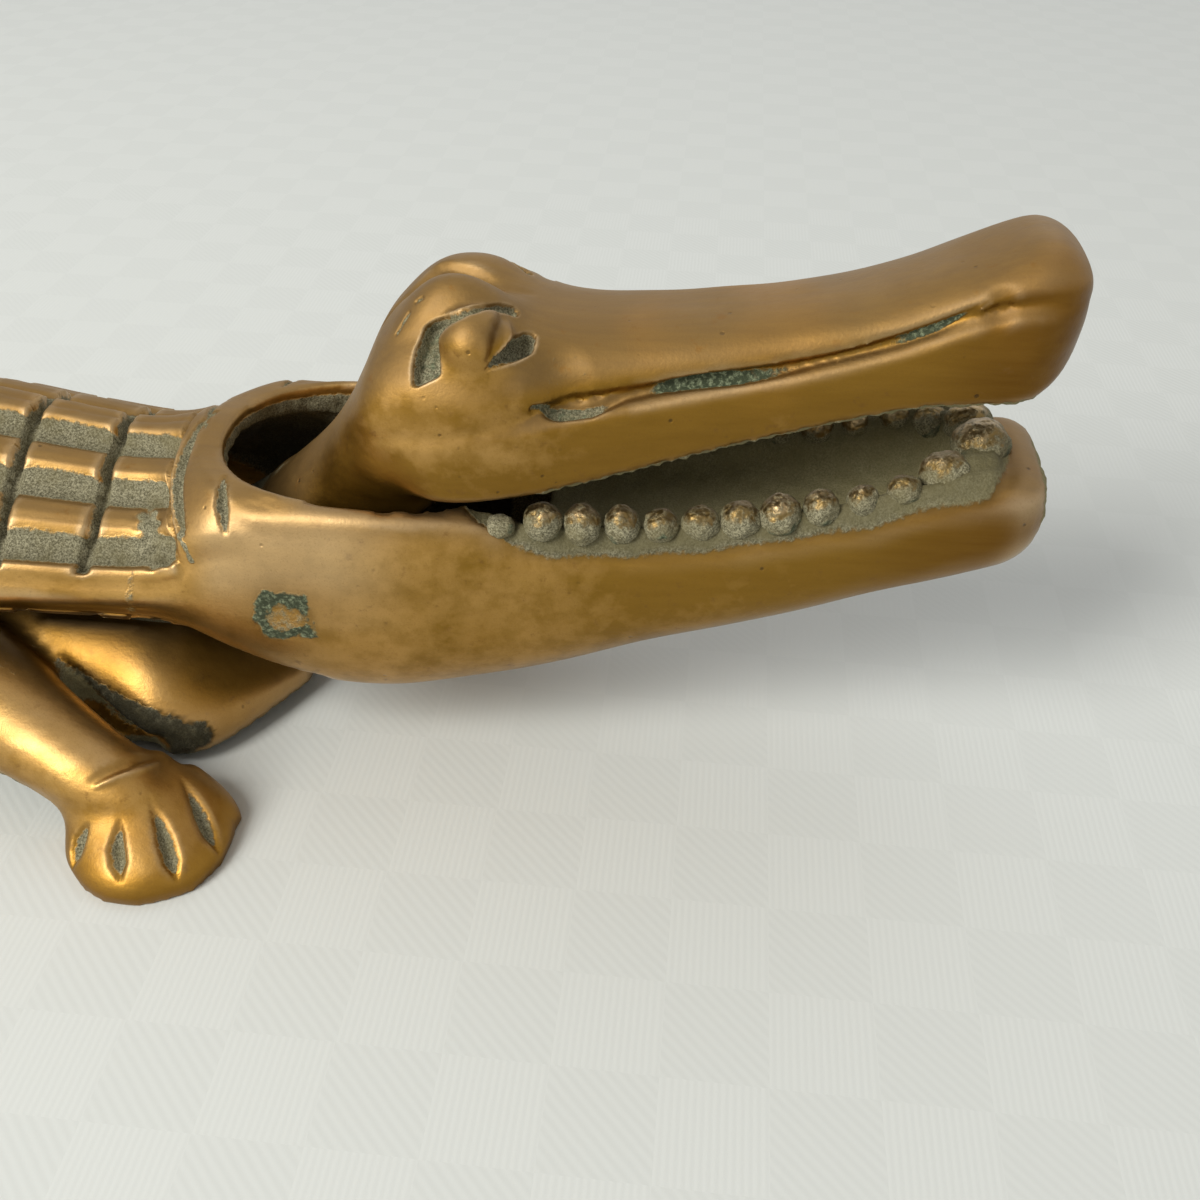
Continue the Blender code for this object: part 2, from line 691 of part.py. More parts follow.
def head_casting():
    """The upper jaw, the skull and the neck, held still on the leg frame."""
    places = steps_between(HEAD_REAR, SKULL_FRONT, FINE_STEP)
    places += steps_between(SKULL_FRONT, HEAD_REACH - SNOUT_ROUNDING, MIDDLE_STEP)[1:]
    rings = [head_ring(x) for x in places]
    rings += [head_ring(x, inset) for x, inset in rounded_tip(HEAD_REACH, SNOUT_ROUNDING)[1:]]
    head = skin("head_casting", rings, (PIVOT_X, 0, NECK_SEAT_HEIGHT))
    boss = cross_bar("add_boss", BOSS_RADIUS, BOSS_HALF_LENGTH)
    for label, side in (("left", 1), ("right", -1)):
        cut(head, tube("cut_socket_" + label, SOCKET, side, SOCKET_FACETS))
    cut(head, eye_pits(), mouth_roof())
    eye_height = curve(HEAD_TOP, EYE_X) - EYE_DROP
    eyes = [
        (PIVOT_X + EYE_X, -EYE_Y, eye_height, EYE_RADIUS),
        (PIVOT_X + EYE_X, EYE_Y, eye_height - LEFT_EYE_SINK, EYE_RADIUS),
    ]
    join(head, balls("add_eyes", eyes), neck())
    for x in (SCREW_FRONT, SCREW_REAR):
        cut(head, screw_space("cut_screw_hole", x))
    join(head, boss)
    cut(head, cross_bar("cut_neck_bore", PIN_RADIUS + GAP, BOSS_HALF_LENGTH + OVERCUT))
    return finish(head, HEAD_METAL)


# Leg frame

def frame_ring(x, wall=0.0):
    """One section of the frame, or of its hollow where a wall is given."""
    half = curve(FRAME_HALF_WIDTH, x) - wall
    top = curve(FRAME_TOP, x) - wall
    edge = FRAME_UNDERSIDE + min(FRAME_EDGE, (top - FRAME_UNDERSIDE) / 2)
    right = []
    for angle in range(0, 91, 15):
        a = radians(angle)
        z = edge + (top - edge) * power(cos(a), FRAME_SQUARENESS)
        right.append((half * power(sin(a), FRAME_SQUARENESS), z))
    if wall:
        right.append((half, FRAME_UNDERSIDE - OVERCUT))
    else:
        right.append((half - FRAME_BEVEL, FRAME_UNDERSIDE + FRAME_BEVEL))
        right.append((half - 2 * FRAME_BEVEL, FRAME_UNDERSIDE))
    return [(PIVOT_X + x, y, z) for y, z in right + [(-y, z) for y, z in right[:0:-1]]]


def foot(name, x, y, turn, side):
    """A fan-shaped foot with a flat sole on the table."""
    rings = []
    facing = Matrix.Rotation(radians(-side * turn), 3, "Z")
    for out, half, height in FOOT_FAN:
        ring = []
        for angle in range(0, 181, 18):
            a = radians(angle)
            rise = (height + SOLE_TRIM) * power(sin(a), FOOT_SQUARENESS) - SOLE_TRIM
            local = Vector((half * cos(a), side * out, rise))
            ring.append(Vector((PIVOT_X + x, side * y, 0)) + facing @ local)
        rings.append(ring)
    return skin(name, rings)


def toe_grooves(name, x, y, turn, side):
    """Wedge cutters that part the toes, as one helper object."""
    shape = bmesh.new()
    facing = Matrix.Rotation(radians(-side * turn), 3, "Z")
    centre = Vector((PIVOT_X + x, side * y, 0)) + facing @ Vector((0, -side * TOE_FAN_CENTRE, 0))
    outer = TOE_FAN_CENTRE + FOOT_FAN[-1][0] + OVERCUT
    inner = TOE_FAN_CENTRE + TOE_GROOVE_START
    half = TOE_GROOVE_WIDTH / 2
    for i in range(TOE_GROOVES):
        fan = (i - (TOE_GROOVES - 1) / 2) * TOE_GROOVE_SPREAD
        spread = facing @ Matrix.Rotation(radians(side * fan), 3, "Z")
        rows = []
        drop = TOE_SIDE_DROP if i in (0, TOE_GROOVES - 1) else 0.0
        start = TOE_GROOVE_TOP - drop
        for along, wide, floor in ((inner, half / 4, start), (outer, half, TOE_GROOVE_END)):
            shoulder = floor + TOE_GROOVE_FLARE * wide
            lid = TOE_GROOVE_LID
            outline = ((0, floor), (wide, shoulder), (wide, lid), (-wide, lid), (-wide, shoulder))
            rows.append(
                [shape.verts.new(centre + spread @ Vector((u, side * along, v))) for u, v in outline]
            )
        for k in range(5):
            j = (k + 1) % 5
            shape.faces.new((rows[0][k], rows[0][j], rows[1][j], rows[1][k]))
        shape.faces.new(rows[0])
        shape.faces.new(rows[1])
    bmesh.ops.recalc_face_normals(shape, faces=shape.faces)
    mesh = bpy.data.meshes.new(name)
    shape.to_mesh(mesh)
    shape.free()
    return new_object(name, mesh, (0, 0, 0))


def leg_frame():
    """Four legs on one frame, which stands on the table under the body."""
    places = steps_between(FRAME_HALF_WIDTH[0][0], FRAME_HALF_WIDTH[-1][0], MIDDLE_STEP)
    frame = skin("leg_frame", [frame_ring(x) for x in places])
    for label, side in (("left", 1), ("right", -1)):
        for end, leg, x, y, turn in (
            ("front", FRONT_LEG, FRONT_FOOT_X, FRONT_FOOT_Y, FRONT_FOOT_TURN),
            ("hind", HIND_LEG, HIND_FOOT_X, HIND_FOOT_Y, HIND_FOOT_TURN),
        ):
            key = end + "_" + label
            join(frame, tube("add_leg_" + key, leg, side, LIMB_FACETS))
            join(frame, foot("add_foot_" + key, x, y, turn, side))
            cut(frame, toe_grooves("cut_toes_" + key, x, y, turn, side))
    reach = max(FRONT_FOOT_Y, HIND_FOOT_Y) + FOOT_FAN[-1][0] + OVERCUT
    floor = box(
        "cut_floor",
        (PIVOT_X - TAIL_REACH, -reach, -OVERCUT),
        (PIVOT_X + JAW_REACH, reach, 0),
    )
    inside = steps_between(FRAME_HOLLOW_REAR, FRAME_HOLLOW_FRONT, COARSE_STEP)
    hollow = skin("cut_frame_hollow", [frame_ring(x, FRAME_WALL) for x in inside])
    cut(frame, floor, hollow)
    for x in (SCREW_FRONT, SCREW_REAR):
        cut(frame, screw_space("cut_frame_hole", x))
    half = max(value for place, value in NECK_HALF_WIDTH) + SEAT_CLEARANCE
    seat = box(
        "cut_neck_seat",
        (PIVOT_X + NECK_REAR - SEAT_CLEARANCE, -half, NECK_SEAT_HEIGHT - GAP),
        (PIVOT_X + SEAT_FRONT, half, PIVOT_HEIGHT),
    )
    cut(frame, seat)
    return finish(frame, LEG_METAL)


# Pin and screws

def pivot_pin():
    """The cross pin, with its ends flush in the flanks."""
    reach = curve(BODY_HALF_WIDTH, 0)
    tip = PIN_RADIUS - PIN_CHAMFER
    shank = reach - PIN_CHAMFER
    profile = ((-reach, tip), (-shank, PIN_RADIUS), (shank, PIN_RADIUS), (reach, tip))
    pivot = (PIVOT_X, 0, PIVOT_HEIGHT)
    pin = turned("pivot_pin", "Y", pivot, profile, pivot)
    return finish(pin, PIN_METAL)


def screw_head_top():
    """Height at which a screw's head bears on the floor of its recess."""
    return FRAME_UNDERSIDE + SCREW_RECESS_DEPTH


def screw_space(name, x):
    """The recess and hole that a neck screw passes through, with its clearance."""
    head_top = screw_head_top()
    wide = SCREW_HEAD_RADIUS + GAP
    narrow = SCREW_RADIUS + GAP
    tip = head_top + SCREW_LENGTH + GAP
    mouth = FRAME_UNDERSIDE - OVERCUT
    profile = ((mouth, wide), (head_top, wide), (head_top, narrow), (tip, narrow))
    return turned(name, "Z", (PIVOT_X + x, 0, 0), profile)


def neck_screw(name, x):
    """A slotted screw, driven up through the leg frame into the neck."""
    shoulder = screw_head_top() - GAP
    foot_height = shoulder - SCREW_HEAD_HEIGHT
    tip = shoulder + SCREW_LENGTH
    profile = (
        (foot_height, SCREW_HEAD_RADIUS - SCREW_EDGE),
        (foot_height + SCREW_EDGE, SCREW_HEAD_RADIUS),
        (shoulder, SCREW_HEAD_RADIUS),
        (shoulder, SCREW_RADIUS),
        (tip - 2 * SCREW_EDGE, SCREW_RADIUS),
        (tip, SCREW_RADIUS - 2 * SCREW_EDGE),
    )
    screw = turned(name, "Z", (PIVOT_X + x, 0, 0), profile, (PIVOT_X + x, 0, foot_height))
    reach = SCREW_HEAD_RADIUS + OVERCUT
    slot = box(
        "cut_slot_" + name,
        (PIVOT_X + x - reach, -SCREW_SLOT_WIDTH / 2, foot_height - OVERCUT),
        (PIVOT_X + x + reach, SCREW_SLOT_WIDTH / 2, foot_height + SCREW_SLOT_DEPTH),
    )
    cut(screw, slot)
    return finish(screw, SCREW_METAL)


def main():
    for obj in list(bpy.data.objects):
        bpy.data.objects.remove(obj, do_unlink=True)
    body_casting()
    head_casting()
    leg_frame()
    pivot_pin()
    neck_screw("neck_screw_front", SCREW_FRONT)
    neck_screw("neck_screw_rear", SCREW_REAR)


main()
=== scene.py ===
# %% [markdown]
# # A cast brass crocodile nutcracker
#
# The real object is three brass castings and a pin: a lever that is the back, the
# lower jaw and the tail in one, a head with its neck, and a leg frame. The packed
# model already has the right sizes and the working hinge, so it is loaded first, and
# every piece made here is a finer skin for one of its bodies.

from math import cos, pi, radians, sin

import bmesh
import bpy
import numpy as np
from mathutils import Matrix, Vector
from mathutils.bvhtree import BVHTree


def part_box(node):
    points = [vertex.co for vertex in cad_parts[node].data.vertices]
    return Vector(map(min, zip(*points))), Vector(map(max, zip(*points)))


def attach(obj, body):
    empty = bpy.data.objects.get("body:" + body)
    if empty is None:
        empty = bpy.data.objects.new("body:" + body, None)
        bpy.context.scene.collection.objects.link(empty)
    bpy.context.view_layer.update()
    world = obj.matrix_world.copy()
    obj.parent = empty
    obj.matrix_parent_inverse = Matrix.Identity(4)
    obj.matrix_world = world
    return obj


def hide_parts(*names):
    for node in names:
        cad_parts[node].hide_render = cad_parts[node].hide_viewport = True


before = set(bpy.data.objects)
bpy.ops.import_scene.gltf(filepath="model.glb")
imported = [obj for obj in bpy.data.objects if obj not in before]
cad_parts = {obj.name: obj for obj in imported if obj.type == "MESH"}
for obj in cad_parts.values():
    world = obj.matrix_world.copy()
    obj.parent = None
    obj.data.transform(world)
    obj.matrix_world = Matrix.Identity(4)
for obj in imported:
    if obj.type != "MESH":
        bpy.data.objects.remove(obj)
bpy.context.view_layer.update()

# %% [markdown]
# ## Camera, light and table
#
# The camera stands where the photographer stood: close, above the right flank, and
# turned a little, so the rear of the croc runs out of the frame. Metal shows its
# surroundings, so the light is made of wide soft panels and a pale table, which give
# broad gradients, and no small lamp that would make hard white spots. The table wears
# a pale damask cloth, woven in small checks whose threads run two ways.

# %% The camera
MM = 0.001
PIVOT_X = 63.5
PIVOT_HEIGHT = 29.0
PICTURE = 1200
CAMERA_PLACE = (54.8, -146.6, 136.4)
CAMERA_TURN, CAMERA_DIP, CAMERA_ROLL = 5.0, 38.39, 1.5
CAMERA_LENS, CAMERA_SENSOR = 36.39, 36.0


def place(x, y, z):
    """Millimetres from the pivot's foot on the table to metres in the scene."""
    return Vector(((x + PIVOT_X) * MM, y * MM, z * MM))


def put_in_scene(name, data):
    """An object for this data, linked to the scene."""
    made = bpy.data.objects.new(name, data)
    bpy.context.scene.collection.objects.link(made)
    return made


camera_data = bpy.data.cameras.new("camera")
camera_data.lens = CAMERA_LENS
camera_data.sensor_width = CAMERA_SENSOR
camera_data.clip_start = 0.01
camera = put_in_scene("camera", camera_data)
camera.matrix_world = (
    Matrix.Translation(place(*CAMERA_PLACE))
    @ Matrix.Rotation(radians(CAMERA_TURN), 4, "Z")
    @ Matrix.Rotation(radians(90 - CAMERA_DIP), 4, "X")
    @ Matrix.Rotation(radians(CAMERA_ROLL), 4, "Z")
)
bpy.context.scene.camera = camera
bpy.context.scene.view_settings.view_transform = "Standard"
print("camera at", [round(v, 3) for v in camera.matrix_world.translation])


# %% Small tools for nodes and materials
def add(tree, kind, **settings):
    """Add a node and set its fields or, by their names, its inputs."""
    node = tree.nodes.new(kind)
    for name, value in settings.items():
        if hasattr(node, name):
            setattr(node, name, value)
        else:
            node.inputs[name.replace("_", " ")].default_value = value
    return node


def link_all(tree, *pairs):
    """Link pairs of sockets, each from an output to an input."""
    for source, target in pairs:
        tree.links.new(source, target)


def new_sockets(tree, way, **kinds):
    """Give a node group its inputs or its outputs, each with a kind such as Float."""
    make = tree.interface.new_socket
    return [make(name, in_out=way, socket_type="NodeSocket" + kind) for name, kind in kinds.items()]


def new_material(name, **constants):
    """A material, its tree and its shader, with constants on the shader's own sockets."""
    material = bpy.data.materials.new(name)
    material.use_nodes = True
    shader = material.node_tree.nodes["Principled BSDF"]
    for socket, value in constants.items():
        shader.inputs[socket.replace("_", " ")].default_value = value
    return material, material.node_tree, shader


# %% Soft panels of light
LIGHT_AIM = (10, 0, 35)


def light_panel(name, where, wide, tall, power, tint):
    """An area light that faces the croc."""
    data = bpy.data.lights.new(name, "AREA")
    data.shape = "RECTANGLE"
    data.size = wide
    data.size_y = tall
    data.energy = power
    data.color = tint
    lamp = put_in_scene(name, data)
    lamp.location = where
    lamp.rotation_mode = "QUATERNION"
    aim = place(*LIGHT_AIM) - Vector(where)
    lamp.rotation_quaternion = aim.to_track_quat("-Z", "Y")
    return lamp


light_panel("window", (-0.56, -0.66, 0.80), 0.42, 0.7, 14.0, (1.0, 0.98, 0.93))
light_panel("ceiling", (0.10, 1.00, 1.25), 1.8, 1.8, 5.5, (0.97, 0.98, 1.0))
world = bpy.data.worlds.new("room")
world.use_nodes = True
bpy.context.scene.world = world
room = world.node_tree
backdrop = room.nodes["Background"]
backdrop.inputs["Color"].default_value = (0.50, 0.49, 0.48, 1.0)
backdrop.inputs["Strength"].default_value = 0.74
white = add(room, "ShaderNodeBackground", Color=(0.88, 0.89, 0.88, 1.0))
seen = add(room, "ShaderNodeLightPath")
looks = seen.outputs["Is Camera Ray"]
for kind in ("Is Glossy Ray", "Is Transmission Ray"):
    either = add(room, "ShaderNodeMath", operation="MAXIMUM")
    link_all(room, (looks, either.inputs[0]), (seen.outputs[kind], either.inputs[1]))
    looks = either.outputs[0]
choose = add(room, "ShaderNodeMixShader")
link_all(
    room,
    (looks, choose.inputs["Fac"]),
    (backdrop.outputs[0], choose.inputs[1]),
    (white.outputs[0], choose.inputs[2]),
    (choose.outputs[0], room.nodes["World Output"].inputs["Surface"]),
)

# %% The table
FLOOR_HALF = 3.0
CHECK_SCALE, THREAD_SCALE = 75.0, 330.0
floor_mesh = bpy.data.meshes.new("table_top")
corners = [(-1, -1), (1, -1), (1, 1), (-1, 1)]
floor_points = [(x * FLOOR_HALF, y * FLOOR_HALF, 0.0) for x, y in corners]
floor_mesh.from_pydata(floor_points, [], [(0, 1, 2, 3)])
table_top = put_in_scene("table_top", floor_mesh)
cloth, weave, yarn = new_material("pale_cloth", Roughness=0.6)
spot = add(weave, "ShaderNodeTexCoord").outputs["Object"]
checks = add(
    weave, "ShaderNodeTexChecker", Scale=CHECK_SCALE,
    Color1=(0.665, 0.69, 0.665, 1), Color2=(0.65, 0.675, 0.65, 1),
)
which = add(weave, "ShaderNodeMix")
for direction, side in (("DIAGONAL", "A"), ("X", "B")):
    thread = add(
        weave, "ShaderNodeTexWave", bands_direction=direction, Scale=THREAD_SCALE, Distortion=0.6,
    )
    link_all(weave, (spot, thread.inputs["Vector"]), (thread.outputs["Fac"], which.inputs[side]))
relief = add(weave, "ShaderNodeBump", Strength=0.14, Distance=0.0001)
link_all(
    weave,
    (spot, checks.inputs["Vector"]),
    (checks.outputs["Fac"], which.inputs["Factor"]),
    (which.outputs["Result"], relief.inputs["Height"]),
    (checks.outputs["Color"], yarn.inputs["Base Color"]),
    (relief.outputs["Normal"], yarn.inputs["Normal"]),
)
floor_mesh.materials.append(cloth)
print("table: %.0f m wide, checks of %.1f mm" % (2 * FLOOR_HALF, 1000 / CHECK_SCALE))

# %% [markdown]
# ## Tools for lofting and carving
#
# A casting like this is modelled in three moves. First a loft: sections read from
# smooth curves, skinned into a solid. Then the hollows are cut with Booleans and the
# whole is remeshed into small even squares, which also melts joined solids into one.
# Last it is carved: each point is pushed in or out by its distance from a line drawn
# on the surface, the way a pattern maker scrapes wax.

# %% Curves and lofts
VOXEL = 1.0


def read_curve(points, x):
    """Read a smooth curve through (x, value) points at many places at once."""
    places, values = np.array(points, float).T
    x = np.clip(x, places[0], places[-1])
    slopes = np.gradient(values)
    spans = np.gradient(places)
    slopes = slopes / spans
    i = np.clip(np.searchsorted(places, x, side="right") - 1, 0, len(places) - 2)
    span = places[i + 1] - places[i]
    t = (x - places[i]) / span
    blend = t * t * (3 - 2 * t)
    lead_in = t * (1 - t) ** 2 * span * slopes[i]
    lead_out = t * t * (t - 1) * span * slopes[i + 1]
    return values[i] + (values[i + 1] - values[i]) * blend + lead_in + lead_out


def power(value, squareness):
    """Sine or cosine raised so that a circle turns into a rounded square."""
    return np.sign(value) * np.abs(value) ** (2 / squareness)


def dome(half, middle, top, squareness, count, stop=90):
    """The right half of a rounded roof, from its top down to its middle."""
    a = np.radians(np.linspace(0, stop, count))
    y = half * power(np.sin(a), squareness)
    return np.column_stack([y, middle + (top - middle) * power(np.cos(a), squareness)])


def both_sides(right):
    """Close a section from its right half, which runs from the top to the bottom."""
    right = np.asarray(right, float)
    inner = right[1:-1] if abs(right[-1][0]) < 1e-9 else right[1:]
    return np.concatenate([right, inner[::-1] * (-1, 1)])


def egg(half, middle, top, bottom, above, below, count):
    """A closed section about its middle, with a squareness above it and one below it."""
    a = np.linspace(0, pi, count)
    upper = a <= pi / 2
    squareness = np.where(upper, above, below)
    y = half * power(np.sin(a), squareness)
    y[0] = y[-1] = 0.0
    reach = np.where(upper, top - middle, middle - bottom)
    return both_sides(np.column_stack([y, middle + reach * power(np.cos(a), squareness)]))


def solid(name, rings):
    """A closed solid from equal rings of (x, y, z) points in millimetres."""
    rings = np.asarray(rings, float)
    count, around = rings.shape[:2]
    points = rings.reshape(-1, 3) + (PIVOT_X, 0, 0)
    here = np.arange(around)
    after = np.roll(here, -1)
    faces = []
    for k in range(count - 1):
        low, high = k * around, (k + 1) * around
        faces += np.stack([low + here, low + after, high + after, high + here], 1).tolist()
    faces.append(here[::-1].tolist())
    faces.append((here + (count - 1) * around).tolist())
    mesh = bpy.data.meshes.new(name)
    mesh.from_pydata((points * MM).tolist(), [], faces)
    shape = bmesh.new()
    shape.from_mesh(mesh)
    bmesh.ops.remove_doubles(shape, verts=shape.verts, dist=1e-7)
    bmesh.ops.recalc_face_normals(shape, faces=shape.faces)
    shape.to_mesh(mesh)
    shape.free()
    return put_in_scene(name, mesh)


def loft(name, stations, section):
    """Skin sections of (y, z) points, one at each station along X."""
    rings = []
    for x in stations:
        ring = section(x)
        rings.append(np.column_stack([np.full(len(ring), x), ring]))
    return solid(name, rings)


def rounded_tip(end, radius, steps):
    """Stations (x, inset) that close a loft with a round nose ending at end."""
    angles = np.radians(np.linspace(0, 83, steps + 1)[1:])
    return [(end - radius + radius * sin(a), radius * (1 - cos(a))) for a in angles]


def loft_to_tip(name, start, end, radius, step, section, steps=10):
    """A loft from a flat start to a round nose. The section is made of x and an inset."""
    insets = {x: 0.0 for x in (*np.arange(start, end - radius, step), end - radius)}
    insets.update(rounded_tip(end, radius, steps))
    return loft(name, insets, lambda x: section(x, insets[x]))


def turned(name, profile, centre, axis=1, facets=64):
    """A round solid along Y (1) or Z (2), from pairs of place and radius about a centre."""
    a = np.linspace(0, 2 * pi, facets, endpoint=False)
    rings = []
    for along, radius in profile:
        ring = np.tile(np.array(centre, float), (facets, 1))
        ring[:, axis] += along
        ring[:, 0] += radius * np.cos(a)
        ring[:, 3 - axis] += radius * np.sin(a)
        rings.append(ring)
    return solid(name, rings)


def bar(name, radius, reach):
    """A round bar through the pivot, across the croc."""
    return turned(name, [(-reach, radius), (reach, radius)], (0, 0, PIVOT_HEIGHT))


# %% Cutting, melting together and reading points
def settle(piece, helpers=()):
    """Turn the modifiers of a piece into plain mesh and drop its helpers."""
    graph = bpy.context.evaluated_depsgraph_get()
    mesh = bpy.data.meshes.new_from_object(piece.evaluated_get(graph))
    piece.modifiers.clear()
    old = piece.data
    piece.data = mesh
    bpy.data.meshes.remove(old)
    for helper in helpers:
        bpy.data.objects.remove(helper, do_unlink=True)
    return piece


def cut(piece, *cutters):
    """Take the cutters away from a piece with exact Booleans."""
    for cutter in cutters:
        modifier = piece.modifiers.new(cutter.name, "BOOLEAN")
        modifier.operation = "DIFFERENCE"
        modifier.object = cutter
        modifier.solver = "EXACT"
    return settle(piece, cutters)


def gather(piece, *others):
    """Put the meshes of several solids in one piece, to be melted together later."""
    shape = bmesh.new()
    for obj in (piece, *others):
        shape.from_mesh(obj.data)
    shape.to_mesh(piece.data)
    shape.free()
    for obj in others:
        bpy.data.objects.remove(obj, do_unlink=True)
    return piece


def remesh(piece, size):
    """Rebuild a piece from even squares of about this size in millimetres."""
    modifier = piece.modifiers.new("remesh", "REMESH")
    modifier.mode = "VOXEL"
    modifier.voxel_size = size * VOXEL * MM
    return settle(piece)


def read_points(piece):
    """The points of a piece as (x, y, z) rows, in millimetres from the pivot's foot."""
    values = np.empty(len(piece.data.vertices) * 3)
    piece.data.vertices.foreach_get("co", values)
    return values.reshape(-1, 3) / MM - (PIVOT_X, 0, 0)


def write_points(piece, points):
    """Give a piece its points back, from millimetres."""
    values = (points + (PIVOT_X, 0, 0)) * MM
    piece.data.vertices.foreach_set("co", values.ravel())
    piece.data.update()


def read_normals(piece):
    """The direction that the skin faces at each point."""
    values = np.empty(len(piece.data.vertices) * 3)
    piece.data.vertex_normals.foreach_get("vector", values)
    return values.reshape(-1, 3)


def relax(piece, values, rounds, strength=0.5):
    """Even out one value or vector for each point with its neighbours, several times."""
    edges = np.empty(len(piece.data.edges) * 2, np.int64)
    piece.data.edges.foreach_get("vertices", edges)
    one, two = edges.reshape(-1, 2).T
    count = len(piece.data.vertices)
    share = np.bincount(one, minlength=count) + np.bincount(two, minlength=count)
    values = np.asarray(values, float)
    columns = values.reshape(count, -1).copy()
    for _ in range(rounds):
        for k in range(columns.shape[1]):
            column = columns[:, k]
            total = np.bincount(one, column[two], count) + np.bincount(two, column[one], count)
            columns[:, k] = column + strength * (total / share - column)
    return columns.reshape(values.shape)


def refine(piece, chosen):
    """Split the squares between chosen points in four, where the carving is fine."""
    shape = bmesh.new()
    shape.from_mesh(piece.data)
    edges = [edge for edge in shape.edges if all(chosen[vert.index] for vert in edge.verts)]
    bmesh.ops.subdivide_edges(shape, edges=edges, cuts=1, use_grid_fill=True)
    shape.to_mesh(piece.data)
    shape.free()
    return read_points(piece)


# Besides the brass's own patina, verdigris, wear and browning, these masks carry painted light: shade
# painted into recesses, channels, creases and undersides and onto the tops, and highlights painted on
# rubbed edges.
MASKS = ("patina", "verdigris", "polish", "dark", "tarnish", "dull")


def paint(piece, **masks):
    """Store each mask as a number from 0 to 1 on the points, 0 where it isn't given."""
    for name in MASKS:
        layer = piece.data.attributes.new(name, "FLOAT", "POINT")
        values = np.broadcast_to(masks.get(name, 0.0), len(piece.data.vertices))
        layer.data.foreach_set("value", np.clip(values, 0, 1).astype(np.float32))


# %% Carving tools
def ramp(value, low, high):
    """0 below low, 1 above high, and smooth between."""
    t = np.clip((value - low) / (high - low), 0, 1)
    return t * t * (3 - 2 * t)


def band(value, start, full, still_full, stop):
    """1 between full and still_full, and smooth down to 0 at start and stop."""
    return ramp(value, start, full) * (1 - ramp(value, still_full, stop))


def ripple(points, length, seed):
    """Uneven waves of about this length, from -1 to 1, the same on every run."""
    random = np.random.default_rng(seed)
    total = np.zeros(len(points))
    for _ in range(9):
        direction = random.normal(size=3)
        direction *= 2 * pi / (length * random.uniform(0.7, 1.5) * np.linalg.norm(direction))
        total += np.sin(points @ direction + random.uniform(0, 2 * pi))
    return total / 4.0


def from_line(points, line):
    """Distance of each point from a line of (x, y, z) points, and how far along, 0 to 1."""
    line = np.array(line, float)
    nearest = np.full(len(points), 1e9)
    along = np.zeros(len(points))
    for k in range(len(line) - 1):
        start, step = line[k], line[k + 1] - line[k]
        t = np.clip((points - start) @ step / (step @ step), 0, 1)
        distance = np.linalg.norm(points - start - t[:, None] * step, axis=1)
        closer = distance < nearest
        nearest[closer] = distance[closer]
        along[closer] = (k + t[closer]) / (len(line) - 1)
    return nearest, along


def groove(points, line, widths, depths, sharpness=1.0):
    """Depth of a groove along a line, with its half width and depth at even places."""
    distance, along = from_line(points, line)
    places = np.linspace(0, 1, len(widths))
    width = np.interp(along, places, widths)
    depth = np.interp(along, np.linspace(0, 1, len(depths)), depths)
    return depth * (1 - ramp(distance / np.maximum(width, 1e-6), 1 - sharpness, 1))


def skin_of(piece):
    """A search tree of the piece's faces, for finding places on its skin."""
    return BVHTree.FromObject(piece, bpy.context.evaluated_depsgraph_get())


def trace(skin, path):
    """Lay a path drawn in the picture (1200 across) on the skin, as millimetre points."""
    eye = camera.matrix_world.translation
    focal = camera_data.lens / camera_data.sensor_width * PICTURE
    turn = camera.matrix_world.to_3x3()
    line = []
    for u, v in path:
        ray = turn @ Vector(((u - PICTURE / 2) / focal, (PICTURE / 2 - v) / focal, -1.0))
        hit = skin.ray_cast(eye, ray.normalized())[0]
        if hit is not None:
            line.append(tuple(hit / MM - Vector((PIVOT_X, 0, 0))))
    return line


def copied(skin, line, mirror=False, shift=0.0):
    """Repeat a line on the other flank or further back, moved onto the skin there."""
    moved = []
    for x, y, z in line:
        target = place(x + shift, -y if mirror else y, z)
        hit = skin.find_nearest(target)[0]
        moved.append(tuple(hit / MM - Vector((PIVOT_X, 0, 0))))
    return moved


def carve(path, widths, depths, sharpness=1.0):
    """Depth of one groove on both flanks, from its path on the near one in the picture."""
    near = trace(skin_tree, path)
    lines = [near, copied(skin_tree, near, mirror=True)]
    return deepest(points, lines, widths, depths, sharpness)


def near_path(points, path, waves, low, high):
    """1 within low of a path in the picture, 0 beyond high, its edge uneven by the waves."""
    return 1 - ramp(from_line(points, trace(skin_tree, path))[0] + waves, low, high)


def deepest(points, lines, widths, depths, sharpness=1.0):
    """Depth of the deepest of several grooves that share one profile."""
    return np.maximum.reduce([groove(points, line, widths, depths, sharpness) for line in lines])


# %% [markdown]
# ## The lever: back, lower jaw and tail
#
# On the real croc this is one hollow casting. Its section changes from a tent-shaped
# back to a box-like jaw, so it is a loft whose squareness changes along its length.
# The hollow, the throat, the oval opening for the neck and the mouth are cut out.

